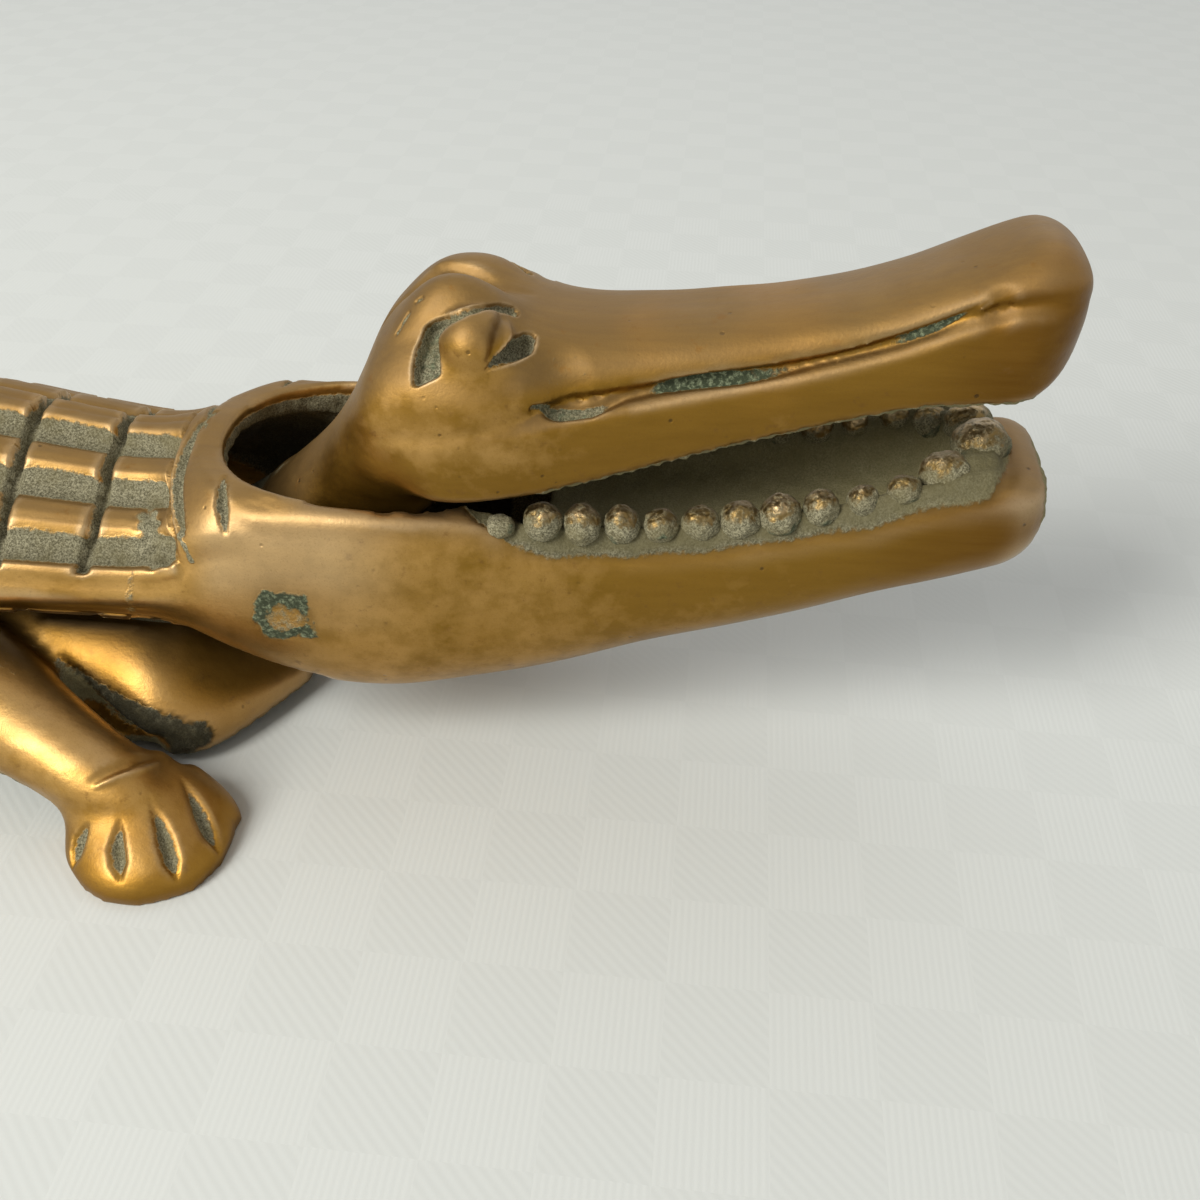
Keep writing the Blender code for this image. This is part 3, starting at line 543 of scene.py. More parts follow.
# %% Outline of the lever
BODY_HALF = (
    (-229, 1.6), (-214, 4.0), (-190, 7.4), (-160, 12.0), (-136, 18.0), (-112, 23.5),
    (-84, 25.5), (-56, 24.4), (-30, 22.4), (-14, 21.0), (0, 21.2), (14, 20.6),
    (28, 18.4), (45, 16.2), (62, 14.4), (80, 12.6), (94, 11.6), (102, 11.0),
)
BODY_TOP = (
    (-229, 27.5), (-214, 23.5), (-196, 23.5), (-170, 29.0), (-140, 38.5), (-112, 45.0),
    (-84, 49.0), (-56, 48.8), (-40, 46.8), (-26, 44.8), (-18, 45.4), (-12, 47.2),
    (-2, 48.0), (8, 47.8), (24, 46.2), (29, 45.2), (33, 42.8), (45, 42.0),
    (58, 42.6), (76, 46.2), (90, 50.8), (102, 53.4),
)
BODY_BOTTOM = (
    (-229, 23.5), (-214, 16.0), (-196, 11.5), (-170, 10.5), (-150, 16.0), (-132, 22.0),
    (-110, 22.0), (-60, 20.8), (-28, 20.2), (-17, 18.8), (-9, 13.6), (-2, 10.3),
    (8, 8.4), (20, 9.6), (34, 13.4), (52, 20.1), (70, 26.4), (86, 32.6), (102, 38.8),
)
BODY_WAIST = (
    (-229, 25.5), (-196, 17.0), (-160, 20.0), (-120, 30.0), (-60, 31.5), (-14, 30.5),
    (0, 29.0), (20, 29.0), (40, 31.0), (60, 34.5), (80, 39.0), (102, 45.0),
)
BACK_SQUARENESS = (
    (-229, 1.8), (-60, 1.3), (-24, 1.25), (-16, 1.6), (-8, 2.8), (2, 4.0), (34, 4.4), (102, 4.6),
)
BELLY_SQUARENESS, THROAT_SQUARENESS = 2.6, 3.2
TAIL_END, JAW_END, JAW_ROUNDING = -229.0, 102.0, 5.2
BACK_WALL = 3.6


def body_section(x, inset):
    """The outer skin of the lever: a tent-shaped back that turns into a box-like jaw."""
    return egg(
        read_curve(BODY_HALF, x) - inset, read_curve(BODY_WAIST, x),
        read_curve(BODY_TOP, x) - inset, read_curve(BODY_BOTTOM, x) + inset,
        read_curve(BACK_SQUARENESS, x), BELLY_SQUARENESS, 90,
    )


def hollow_section(x):
    """The hollow under the back, open below."""
    half = read_curve(BODY_HALF, x) - BACK_WALL
    top = read_curve(BODY_TOP, x) - BACK_WALL
    roof = dome(half, read_curve(BODY_WAIST, x), top, read_curve(BACK_SQUARENESS, x), 19)
    return both_sides(np.vstack([roof, (half, read_curve(BODY_BOTTOM, x) - 4)]))


def throat_section(x):
    """The closed hollow between the back and the mouth."""
    return egg(
        read_curve(BODY_HALF, x) - 4.2, read_curve(BODY_WAIST, x),
        read_curve(BODY_TOP, x) - BACK_WALL, read_curve(BODY_BOTTOM, x) + 4.0,
        THROAT_SQUARENESS, THROAT_SQUARENESS, 37,
    )


def trough_section(x, inset):
    """The floor of the mouth, open above."""
    half = read_curve(BODY_HALF, x) - 5.4 - inset
    rim = read_curve(BODY_TOP, x)
    return both_sides([
        (0, rim + 6.5), (half, rim + 6.5), (half, rim - 2.6),
        (half * 0.86, rim - 3.9), (half * 0.55, rim - 5.0), (0, rim - 5.2),
    ])


# %% Loft and cut the lever
OPENING_CENTRE, OPENING_LONG, OPENING_WIDE, OPENING_POWER = 9.4, 21.4, 16.4, 2.4
lever = loft_to_tip("lever_casting", TAIL_END, JAW_END, JAW_ROUNDING, 1.3, body_section)
opening_rings = []
for z in (33.0, 52.0):
    a = np.linspace(0, 2 * pi, 96, endpoint=False)
    x = OPENING_CENTRE + OPENING_LONG * power(np.cos(a), OPENING_POWER)
    y = OPENING_WIDE * power(np.sin(a), OPENING_POWER)
    opening_rings.append(np.column_stack([x, y, np.full(96, z)]))
cut(
    lever,
    loft("hollow", np.linspace(-146, 2, 60), hollow_section),
    loft("throat", np.linspace(-8, 34, 22), throat_section),
    solid("opening", opening_rings),
    loft_to_tip("trough", 24, 90, 5, 2.5, trough_section),
    bar("boss_faces", 9.5, 16.8),
)
remesh(lever, 0.85)
write_points(lever, relax(lever, read_points(lever), 4))
points = read_points(lever)
fine = (points[:, 0] > -72) & (points[:, 0] < 0) & (points[:, 2] > 30)
fine &= read_normals(lever)[:, 2] > -0.2
fine &= points[:, 2] > read_curve(BODY_TOP, points[:, 0]) - 15
points = refine(lever, fine)
write_points(lever, relax(lever, points, 2))
print("lever:", len(lever.data.polygons), "faces")

# %% [markdown]
# ### Scutes, rim and slits
#
# Four rows of scutes run down each side of the back. Each has a polished rolled top
# and, below its crest, a scooped face that was left rough and has turned grey-green.
# Channels run across between them. The rows follow the section, so each point's angle
# from the top of its section gives its row, and its place along X gives its scute.

# %% Where each point lies on the skin of the lever
points = read_points(lever)
normals = read_normals(lever)
x, y, z = points.T
half = read_curve(BODY_HALF, x)
waist = read_curve(BODY_WAIST, x)
above = z >= waist
reach = np.where(above, read_curve(BODY_TOP, x) - waist, waist - read_curve(BODY_BOTTOM, x))
squareness = np.where(above, read_curve(BACK_SQUARENESS, x), BELLY_SQUARENESS)
u, v = np.abs(y) / half, np.abs(z - waist) / reach
size = (u**squareness + v**squareness) ** (1 / squareness)
upward = np.where(above, 1, -1)
angle = np.degrees(np.arctan2(u ** (squareness / 2), upward * v ** (squareness / 2)))
depth_inside = (1 - size) * np.minimum(half, reach)
facing = normals[:, 1] * np.sign(y) * u + normals[:, 2] * upward * v
skin = (1 - ramp(depth_inside, 0.8, 1.6)) * ramp(facing, 0.0, 0.3)

# %% True the rim of the opening
RIM_ROUNDING = 1.0
ex, ey = np.abs(x - OPENING_CENTRE) / OPENING_LONG, np.abs(y) / OPENING_WIDE
oval = (ex**OPENING_POWER + ey**OPENING_POWER) ** (1 / OPENING_POWER)
to_opening = OPENING_WIDE * (oval - 1)
flat = np.zeros(len(x))
away = np.column_stack([
    ex ** (OPENING_POWER - 1) * np.sign(x - OPENING_CENTRE) / OPENING_LONG,
    ey ** (OPENING_POWER - 1) * np.sign(y) / OPENING_WIDE,
    flat,
])
away /= np.linalg.norm(away, axis=1)[:, None] + 1e-9
over = np.column_stack([
    flat, -(u ** (squareness - 1)) * np.sign(y) / half, -(v ** (squareness - 1)) / reach,
])
over /= np.linalg.norm(over, axis=1)[:, None] + 1e-9
short_out = np.maximum(RIM_ROUNDING - to_opening, 0)
short_top = np.maximum(RIM_ROUNDING - depth_inside, 0)
corner = np.hypot(short_out, short_top)
inward = (short_out[:, None] * away + short_top[:, None] * over) / (corner[:, None] + 1e-9)
on_rim = (corner > 0.3) & (np.abs(RIM_ROUNDING - corner) < 1.3)
on_rim &= (z > 40) & (x < 25) & (to_opening < 2.2)
points -= np.where(on_rim, RIM_ROUNDING - corner, 0)[:, None] * inward
print("points on the rim:", np.count_nonzero(on_rim))
collar = above * ramp(to_opening, 0.4, 3.0) * (1 - ramp(angle, 58, 74)) * (1 - ramp(x, -10, 0))

# %% Where the rows of scutes end
# The last channel is drawn in the picture. Its place at each angle is the front of the rows.
LENS_PATH = [
    (216, 411), (204, 421), (193, 434), (186, 450), (181, 464),
    (177, 480), (176, 497), (178, 515), (181, 530), (183, 538),
]
front_places = np.array(trace(skin_of(lever), LENS_PATH))
nearest = [np.argmin(np.linalg.norm(points - spot, axis=1)) for spot in front_places]
order = np.argsort(angle[nearest])
row_front = np.interp(angle, angle[nearest][order], front_places[order, 0])
print("rows end at x", np.round(front_places[:, 0], 1), "angles", np.round(angle[nearest]))

# %% Carve the scutes
SCUTE_TABLE = np.array([
    (0, 0.80, 0), (6, 0.95, 0), (10.5, 1.0, 0), (13, 0.78, 0.4), (15, 0.42, 1), (19, 0.16, 1),
    (23, 0.10, 1), (24.3, 0.30, 0.2), (25.5, 0.70, 0), (29, 0.95, 0), (32.5, 1.0, 0),
    (34.5, 0.78, 0.4), (36, 0.42, 1), (39.5, 0.14, 1), (43, 0.08, 1), (44.5, 0.35, 0.2),
    (46, 0.72, 0), (49.5, 0.96, 0), (53, 1.0, 0), (55.5, 0.76, 0.4), (57.5, 0.36, 1),
    (62, 0.08, 1), (66, 0.04, 1), (67.5, 0.30, 0.2), (69, 0.58, 0), (72, 0.50, 0),
    (76, 0.12, 0), (80, 0.0, 0), (181, 0.0, 0),
])
SCUTE_FRONT, SCUTE_PITCH, SCUTE_REAR, SCUTE_HEIGHT = -15.4, 12.5, -218.0, 1.75
grooves = []
place_x, pitch = SCUTE_FRONT, SCUTE_PITCH
while place_x > SCUTE_REAR:
    grooves.append(place_x)
    pitch *= 0.94 if place_x < -140 else 1.0
    place_x -= pitch
grooves = np.array(grooves[::-1])

wander = 0.45 * ripple(points * (1, 0.6, 0.6), 9.0, 3)
gx = x + wander
i = np.clip(np.searchsorted(grooves, gx) - 1, 0, len(grooves) - 2)
scute_end = np.where(i == len(grooves) - 2, row_front, grooves[i + 1])
across = np.abs((gx - (grooves[i] + scute_end) / 2) / (scute_end - grooves[i]) * 2)
from_groove = gx - grooves[np.argmin(np.abs(gx[:, None] - grooves[None, :]), axis=1)]
in_rows = ramp(gx, grooves[0] - 1, grooves[0] + 1) * (1 - ramp(x, row_front - 0.5, row_front + 0.3))
shrink = np.minimum(1.0, half / 16.0)
height = np.interp(angle, SCUTE_TABLE[:, 0], SCUTE_TABLE[:, 1])
rough = np.interp(angle, SCUTE_TABLE[:, 0], SCUTE_TABLE[:, 2])
to_scoop_top = np.interp(angle, (12, 17, 24, 34, 38, 44, 54, 59, 67), (1, 0, 0, 1, 0, 0, 1, 0, 0))
scoop_end = 0.90 + 0.05 * (i == len(grooves) - 2) - 0.30 * to_scoop_top**2
scoop = 1 - ramp(across, scoop_end - 0.07, scoop_end + 0.05)
rough *= scoop
height += (0.80 - height) * (1 - scoop) * (height < 0.8) * (angle < 67)
last = ramp(gx, SCUTE_FRONT - 3, SCUTE_FRONT - 2)
low_in_scoop = np.interp(
    angle,
    (12, 18, 24, 25, 34, 39, 44, 45, 54, 60, 67, 68),
    (0, 0.1, 1, 0, 0, 0.1, 1, 0, 0, 0.2, 1, 0),
)
steep_side, sloping_side = 1 - ramp(-from_groove, 0.5, 0.95), 1 - ramp(from_groove, 0.35, 1.35)
channel = np.where(from_groove < 0, steep_side, sloping_side)
channel *= (1 - ramp(angle, 69, 73)) * (1 - last)
channel *= ramp(gx, grooves[0] - 2, grooves[0])
collar_lift = 0.85 * collar * (1 - in_rows) * (x > row_front - 1)
lift = SCUTE_HEIGHT * np.maximum(height * in_rows, collar_lift)
lift += channel * (-1.0 + 0.15 * ripple(points, 1.7, 9) - lift)
points += normals * (lift * skin * shrink)[:, None]
print("scutes raised by up to %.2f mm between %d channels" % (lift.max(), len(grooves)))

# %% The last channel is a narrow lens
LENS_WIDTHS = (0.4, 0.45, 0.8, 1.35, 1.6, 1.65, 1.6, 1.35, 0.9, 0.2)
LENS_DEPTHS = (0.4, 0.5, 0.9, 1.3, 1.5, 1.5, 1.5, 1.3, 0.9, 0.2)
CHEWED_PATH = [(147, 516), (150, 530), (155, 545), (161, 560)]
write_points(lever, points)
normals = read_normals(lever)
skin_tree = skin_of(lever)
lens = carve(LENS_PATH, LENS_WIDTHS, LENS_DEPTHS, 0.8)
chewed = near_path(points, CHEWED_PATH, 0.5 * ripple(points, 2.0, 89), 0.8, 2.6)
points -= normals * (lens + chewed * (0.3 + 0.4 * ripple(points, 1.5, 97)))[:, None]
rough_mask = skin * np.maximum.reduce([
    rough * in_rows, ramp(channel, 0.25, 0.6), ramp(lens, 0.15, 0.5), 0.75 * chewed,
])
print("last channel %.2f mm deep" % lens.max())

# %% Carve the slit, the rim of the jaw and the hand-worked flank
SLIT_PATH = [(224, 476), (222, 490), (221, 505), (223, 520), (225, 535)]
SLIT_WIDTHS, SLIT_DEPTHS = (0.2, 0.8, 1.05, 0.8, 0.2), (0.3, 1.0, 1.3, 1.0, 0.3)
CREASE_PATH = [(240, 513), (254, 518), (290, 521), (330, 523), (380, 524), (430, 525), (474, 528)]
CREASE_WIDTHS, CREASE_HEIGHTS = (1.5, 2.6, 2.8, 2.6, 1.5), (0.1, 0.45, 0.5, 0.45, 0.2)
slit = carve(SLIT_PATH, SLIT_WIDTHS, SLIT_DEPTHS, 0.7)
crease = carve(CREASE_PATH, CREASE_WIDTHS, CREASE_HEIGHTS)
points -= normals * (slit - crease)[:, None]

rim_width = np.interp(x, (24, 27, 31, 37), (5.0, 3.2, 1.8, 1.0))
rim_edge = half - rim_width + 0.2 * ripple(points * (1, 0, 0), 11.0, 5)
mouth_end = 97.2 - 0.03 * y * y
between_rims = ramp(x, 23.6, 26.0) * (1 - ramp(np.abs(y), rim_edge - 0.6, rim_edge + 0.3))
between_rims *= 1 - ramp(x, mouth_end - 1.2, mouth_end)
gum = between_rims * ramp(facing, 0.2, 0.5) * skin * (angle < 68)
mouth = between_rims * (z > waist + 0.3 * reach) * (normals[:, 2] > -0.3)
far_side = 2.3 * ramp(y, 4, 9) * band(x, 36, 46, 86, 92)
mound = np.exp(-(((np.abs(y) - half + 3.0) / 1.9) ** 2)) * ramp(x, 29, 34)
tip_mound = band(x, 82, 90, 93, 97) * (1 - ramp(np.abs(y), 6.5, 9.5))
mounds = 2.5 * np.maximum(mound, 1.1 * tip_mound) - 0.6
points[:, 2] += gum * (mounds + far_side + 0.32 * ripple(points, 1.9, 7))

undercut = (1 - ramp(np.abs(z - 25.0), 1.5, 5.5)) * skin * band(x, -125, -112, -22, -10)
points -= normals * (0.9 * undercut)[:, None]
inside = ramp(depth_inside, 1.2, 2.4)
points += normals * (inside * 0.22 * ripple(points, 2.2, 11))[:, None]
points += normals * (skin * 0.09 * ripple(points, 17.0, 13))[:, None]
from_pin = np.hypot(x, z - PIVOT_HEIGHT)
on_flank = skin * (np.abs(y) > 15)
points -= normals * (0.15 * (1 - ramp(from_pin, 2.8, 3.6)) * on_flank)[:, None]
print("slit %.2f mm deep, crease %.2f mm high" % (slit.max(), crease.max()))

# %% Keep it inside the imported box, and mark the rough and the green places, the painted shade and the painted highlights
SCAR_PATH = [(133, 574), (131, 588), (129, 600), (132, 612), (128, 620)]
CRACK_PATH = [(179, 535), (184, 546), (191, 561)]


def fit_in_box(points, node):
    """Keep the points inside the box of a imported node."""
    low, high = (np.array(corner) / MM - (PIVOT_X, 0, 0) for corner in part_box(node))
    return np.clip(points, low, high)


def hollows(piece, points, rounds):
    """How deep each point lies below its surroundings, in millimetres."""
    smooth = relax(piece, points, rounds, 0.6)
    return np.einsum("ij,ij->i", smooth - points, read_normals(piece))


points = fit_in_box(points, "body_casting")
write_points(lever, points)
hollow = hollows(lever, points, 14)
skin_tree = skin_of(lever)
scratched = near_path(points, SCAR_PATH, 0.5 * ripple(points, 1.6, 71), 0.3, 1.3)
cracked = near_path(points, CRACK_PATH, 0.15 * ripple(points, 1.2, 73), 0.15, 0.6)


def pin_crust(points):
    """The ring of green crust over the joint of pin and flank, and the film inside it."""
    x, z = points[:, 0], points[:, 2] - PIVOT_HEIGHT
    square_ring = np.maximum(np.abs(x), np.abs(z)) * 0.6 + np.hypot(x, z) * 0.4
    ring = 1 - ramp(np.abs(square_ring - 3.0 + 0.8 * ripple(points, 2.6, 17)), 0.4, 1.9)
    ring *= 0.50 + 0.50 * ramp(ripple(points, 4.0, 19), -0.9, 0.3)
    return ring, 0.46 * (1 - ramp(square_ring, 3.0, 4.4))


pin_ring, pin_film = (mask * on_flank for mask in pin_crust(points))
patina = np.maximum.reduce([
    rough_mask, ramp(slit, 0.15, 0.5), gum, mouth, inside, ramp(hollow, 0.3, 0.8),
    0.5 * scratched, cracked, pin_film,
])
bare = 1 - np.clip(patina, 0, 1)
# A painted highlight on the shoulder, where a thumb would also rub the brass.
thumbed = band(x, -14, -8, 6, 20) * band(angle, 42, 56, 80, 96)
worn = np.maximum(ramp(-hollow, 0.08, 0.4), 0.75 * thumbed)
# Browner towards the tip of the jaw.
browning = np.interp(x, (-30, -20, 14, 40, 75, 96, 100), (0.05, 0, 0.05, 0.42, 0.64, 0.95, 1.0))
# Painted shade inside the opening, lighter towards its top.
deep = inside * (x < 26) * (1 - 0.75 * ramp(z, 36, 45))
# Darker towards the bottom of each scoop.
low_rough = 0.4 * low_in_scoop * rough * in_rows * skin
# Painted shade in the channels between the scutes.
in_channels = ramp(channel, 0.5, 1.0) * skin * 0.2
paint(
    lever,
    patina=relax(lever, patina, 1),
    verdigris=np.maximum(pin_ring, gum * 0.5 * ramp(ripple(points, 4.0, 43), 0.3, 0.9)),
    # Rubbed convex edges and a painted highlight on the shoulder, weaker on the tops.
    polish=worn * bare * (1 - 0.75 * ramp(normals[:, 2], 0.3, 0.85)),
    # Painted shade in the opening and the channels, scoops darker towards their bottoms, a darker
    # gum, and the pin's crust.
    dark=np.maximum.reduce([deep, in_channels, low_rough, gum * 0.55, pin_ring * 0.3]),
    # Browner towards the tip, the mouth's own colour, and painted shade in the undercut along the
    # foot of the flank.
    tarnish=np.maximum.reduce([browning, mouth * 0.95, undercut * 0.9]),
    # Painted shade on the upward-facing tops, which also turn rougher.
    dull=ramp(normals[:, 2], 0.2, 0.85) * (1 - mouth),
)
lever.data.shade_smooth()
print("deepest place of the lever: %.2f mm below its surroundings" % hollow.max())

# %% [markdown]
# ## The head
#
# The head is its own casting: skull, upper jaw and neck, held still by the leg frame
# while the lever swings round it. The skull is a loft with a crown, a side groove and
# a lip band. The neck, the pin's boss and the eyeballs are separate solids that the
# remesh melts into it, which gives the soft fillets of a casting. The brows are part
# of the loft, and the eye sockets are carved.

# %% Outline of the head
HEAD_HALF = (
    (4, 10.6), (8, 13.2), (13, 16.2), (22, 18.0), (30, 17.2), (38, 15.2), (50, 13.0),
    (66, 11.4), (80, 10.6), (92, 10.8), (100, 10.2),
)
HEAD_TOP = (
    (4, 49.6), (7, 54.0), (10, 60.0), (13, 66.0), (18, 69.8), (24, 70.6), (30, 69.8),
    (36, 68.6), (42, 68.6), (58, 70.4), (74, 73.8), (86, 78.8), (94, 82.4), (100, 83.2),
)
HEAD_LOWER = (
    (4, 46.6), (24, 46.6), (32, 47.4), (38, 48.4), (45, 50.2), (52, 52.3), (60, 54.8),
    (68, 57.2), (76, 59.5), (84, 61.5), (100, 63.4),
)
LIP_HEIGHT = (
    (4, 48.0), (8, 51.5), (14, 56.5), (24, 58.5), (36, 60.2), (54, 64.0), (67, 67.0),
    (78, 70.6), (90, 76.0), (100, 77.6),
)
CROWN_HALF = (
    (4, 10.2), (8, 12.8), (14, 16.0), (24, 17.4), (32, 15.8), (40, 12.4), (56, 10.6),
    (80, 9.4), (92, 9.8), (100, 9.8),
)
STEP_DEPTH = ((4, 0.0), (30, 0.0), (38, 1.5), (88, 1.3), (97, 0.0), (100, 0.0))
NECK_TOP = (
    (-42, 28.5), (-28, 30.0), (-16, 31.0), (-10, 35.0), (-6, 39.4), (0, 44.6), (6, 51.0),
    (12, 57.0), (24, 60.0),
)
NECK_HALF = ((-42, 10.0), (-28, 11.6), (-12, 11.4), (-4, 10.0), (4, 11.4), (10, 13.0), (24, 12.8))
NECK_UNDER = ((-8, 17.0), (0, 20.0), (7, 24.0), (13, 33.0), (19, 42.0), (24, 47.5))


def brow_lift(x, y):
    """Height that the two brow ridges add to the skull, the near one a little more."""
    along = (x - 23.5) / 9.5
    across = (np.abs(y) - 6.4) / 4.9
    high = np.where(y < 0, 4.0, 1.9)
    return high * max(0.0, 1 - along * along) ** 1.5 * np.maximum(0.0, 1 - across * across)


def head_section(x, inset):
    """Crown, side step and lip band of the skull and the upper jaw."""
    half = read_curve(HEAD_HALF, x) - inset
    lower = read_curve(HEAD_LOWER, x) + inset
    top = read_curve(HEAD_TOP, x) - inset
    step = min(read_curve(LIP_HEIGHT, x), top - 1.5)
    crown = read_curve(CROWN_HALF, x) - inset
    depth = read_curve(STEP_DEPTH, x)
    lip = step - lower
    bevel = min(1.2, lip / 4)
    right = np.vstack([
        dome(crown, step, top, 2.3, 50, 84),
        (crown - depth, step), (half - bevel / 2, step - bevel), (half - 0.1, step - 1.6 * bevel),
        (half, step - lip / 2), (half - bevel / 2, lower + bevel), (half - 2 * bevel, lower),
        (half * 0.7, lower), (half * 0.4, lower),
    ])
    ring = np.vstack([right, right[:0:-1] * (-1, 1)])
    ring[:, 1] += np.where(ring[:, 1] > step + 0.1, brow_lift(x, ring[:, 0]), 0)
    return ring


def neck_section(x):
    """The neck, from its foot on the leg frame up into the skull."""
    half, top, under = (read_curve(curve, x) for curve in (NECK_HALF, NECK_TOP, NECK_UNDER))
    roof = dome(half, (top + under) / 2, top, 3.2, 25)
    return both_sides(np.vstack([roof, (half, under + 1), (half - 1, under)]))


def roof_section(x, inset):
    """The hollow roof of the mouth."""
    half = read_curve(HEAD_HALF, x) - 3.6 - inset
    lower = read_curve(HEAD_LOWER, x)
    return both_sides([
        (0, lower - 4), (half, lower - 4), (half, lower + 1.2),
        (half * 0.6, lower + 3.5), (0, lower + 3.5),
    ])


def ball(name, centre, radius):
    """A round ball about a place in millimetres."""
    profile = [(radius * sin(a), radius * cos(a)) for a in np.radians(np.linspace(-88, 88, 24))]
    return turned(name, profile, centre, 2, 40)


# %% Loft, cut and melt the head
EYES = ((26.6, -11.0, 67.3), (26.6, 10.7, 63.4))
EYE_RADIUS = 5.0
head = loft_to_tip("head_skin", 4, 101, 8, 0.9, head_section, 14)
cut(head, loft_to_tip("roof", 34, 93, 5, 2.5, roof_section))
neck = loft("neck", np.arange(-42, 24.1, 1.1), neck_section)
boss = bar("boss", 8.0, 16.5)
gather(head, neck, boss, *[ball("eye", centre, EYE_RADIUS) for centre in EYES])
remesh(head, 0.5)
cut(head, bar("neck_bore", 3.3, 30))
points = relax(head, read_points(head), 4)
x, y, z = points.T
throat = band(x, -14, -8, 14, 22) * band(z, 36, 40, 52, 58)
points += throat[:, None] * (relax(head, points, 160, 0.8) - points)
softer = relax(head, points, 40, 0.8)
for centre in EYES:
    near = 1 - ramp(np.linalg.norm(points - centre, axis=1), EYE_RADIUS + 0.5, EYE_RADIUS + 4.0)
    below = near * (1 - ramp(points[:, 2], centre[2] - 2.2, centre[2] + 1.6))
    points += below[:, None] * (softer - points)
write_points(head, points)
fine = (points[:, 0] > 13) & (points[:, 0] < 46)
fine &= (points[:, 2] > 57) & (np.abs(points[:, 1]) > 4)
points = refine(head, fine)
write_points(head, relax(head, points, 1))
print("head:", len(head.data.polygons), "faces")

# %% [markdown]
# ### Eyes, brows and lip
#
# Round each eye runs a crescent-shaped cut, wide behind the ball and thin over it, and
# in front of the ball is a wedge-shaped pit. The cuts have gone green, because no
# cloth reaches into them. A line follows each lip from the cheek to the nose.

# %% Carve the head
CRESCENT_PATH = [
    (426, 381), (426, 366), (428, 350), (434, 335), (444, 322),
    (457, 314), (472, 309), (488, 307), (503, 308), (514, 311),
]
CRESCENT_WIDTHS = (2.0, 2.0, 1.9, 1.7, 1.5, 1.3, 1.1, 0.9, 0.8, 0.9)
CRESCENT_DEPTHS = (1.5, 1.9, 1.9, 1.8, 1.6, 1.3, 1.0, 0.8, 0.8, 0.9)
WEDGE_PATH = [(486, 370), (498, 362), (511, 353), (523, 345), (530, 341)]
WEDGE_WIDTHS, WEDGE_DEPTHS = (0.2, 0.8, 1.3, 1.6, 1.6), (0.3, 1.2, 1.8, 1.9, 1.6)
LID_PATH = [(504, 318), (502, 330), (498, 344), (491, 360)]
LIP_PATH = [
    (534, 409), (560, 414), (590, 411), (625, 398), (660, 388), (700, 381), (740, 378),
    (780, 371), (820, 361), (860, 351), (900, 340), (935, 328), (965, 315), (985, 303),
]
LIP_WIDTHS = (0.8, 1.4, 1.4, 1.0, 1.1, 1.4, 1.3, 1.2, 1.0, 1.0, 1.2, 1.2, 0.9, 0.4)
LIP_DEPTHS = (0.7, 1.4, 1.2, 0.4, 0.6, 0.8, 0.7, 0.5, 0.3, 0.35, 0.5, 0.5, 0.4, 0.1)
LIP_GREEN = (
    (0, 0.55), (0.15, 0.5), (0.2, 0.1), (0.27, 0.2), (0.31, 0.8), (0.45, 0.9),
    (0.54, 0.55), (0.62, 0.2), (0.72, 0.25), (0.8, 0.8), (0.92, 0.8), (1, 0.1),
)
VALLEY_PATH = [
    (384, 322), (392, 300), (404, 284), (418, 274), (440, 268), (460, 270), (480, 278),
    (500, 287), (530, 293),
]
VALLEY_WIDTHS = (1.2, 1.6, 1.9, 2.0, 2.0, 1.6, 1.0)
VALLEY_DEPTHS = (0.5, 0.8, 0.9, 0.9, 0.8, 0.5, 0.2)
SLIT_PATHS = ([(396, 334), (409, 313)], [(416, 302), (422, 298)])
NOSE_PATH = [(1003, 300), (1000, 318), (992, 335)]
CHEEK_PATH = [(556, 372), (566, 388)]
SCUFF_PLACE = (281, 467)

points = read_points(head)
normals = read_normals(head)
x, y, z = points.T
skin_tree = skin_of(head)
socket = carve(CRESCENT_PATH, CRESCENT_WIDTHS, CRESCENT_DEPTHS, 0.45)
socket *= ramp(z - 0.5 * (x - 19.5), 63.2, 63.8)
wedge = carve(WEDGE_PATH, WEDGE_WIDTHS, WEDGE_DEPTHS, 0.5) * (1 - ramp(x, 33.4, 34.0))
lid = carve(LID_PATH, (1.4, 2.1, 2.1, 1.2), (0.5, 0.9, 0.9, 0.5))
lip = carve(LIP_PATH, LIP_WIDTHS, LIP_DEPTHS)
carved = np.maximum.reduce([socket, wedge, lip])
lip_xs = np.array(trace(skin_tree, LIP_PATH))[:, 0]
along_lip = np.interp(x, lip_xs, np.linspace(0, 1, len(lip_xs)))
patches = np.interp(along_lip, *zip(*LIP_GREEN))
valley = groove(points, trace(skin_tree, VALLEY_PATH), VALLEY_WIDTHS, VALLEY_DEPTHS)
cheek = carve(CHEEK_PATH, (5.0, 4.5), (0.9, 0.8))
slits = np.maximum(*[carve(path, (0.35, 0.35), (0.35, 0.35)) for path in SLIT_PATHS])
nose_crease = carve(NOSE_PATH, (2.2, 2.4, 2.0), (0.4, 0.35, 0.1))
stipple = band(x, 31, 35, 40, 46) * band(z, 59, 61, 66, 69)
points -= normals * (np.maximum(carved, lid) + valley + cheek + slits + nose_crease)[:, None]
under = ramp(-normals[:, 2], 0.45, 0.8) * ramp(x, 33, 36)
gum = under * (z < read_curve(HEAD_LOWER, x) + 6)
points += normals * (gum * 0.25 * ripple(points, 2.0, 29))[:, None]
points += normals * (0.05 * ripple(points, 13.0, 31))[:, None]
points = fit_in_box(points, "head_casting")
write_points(head, points)

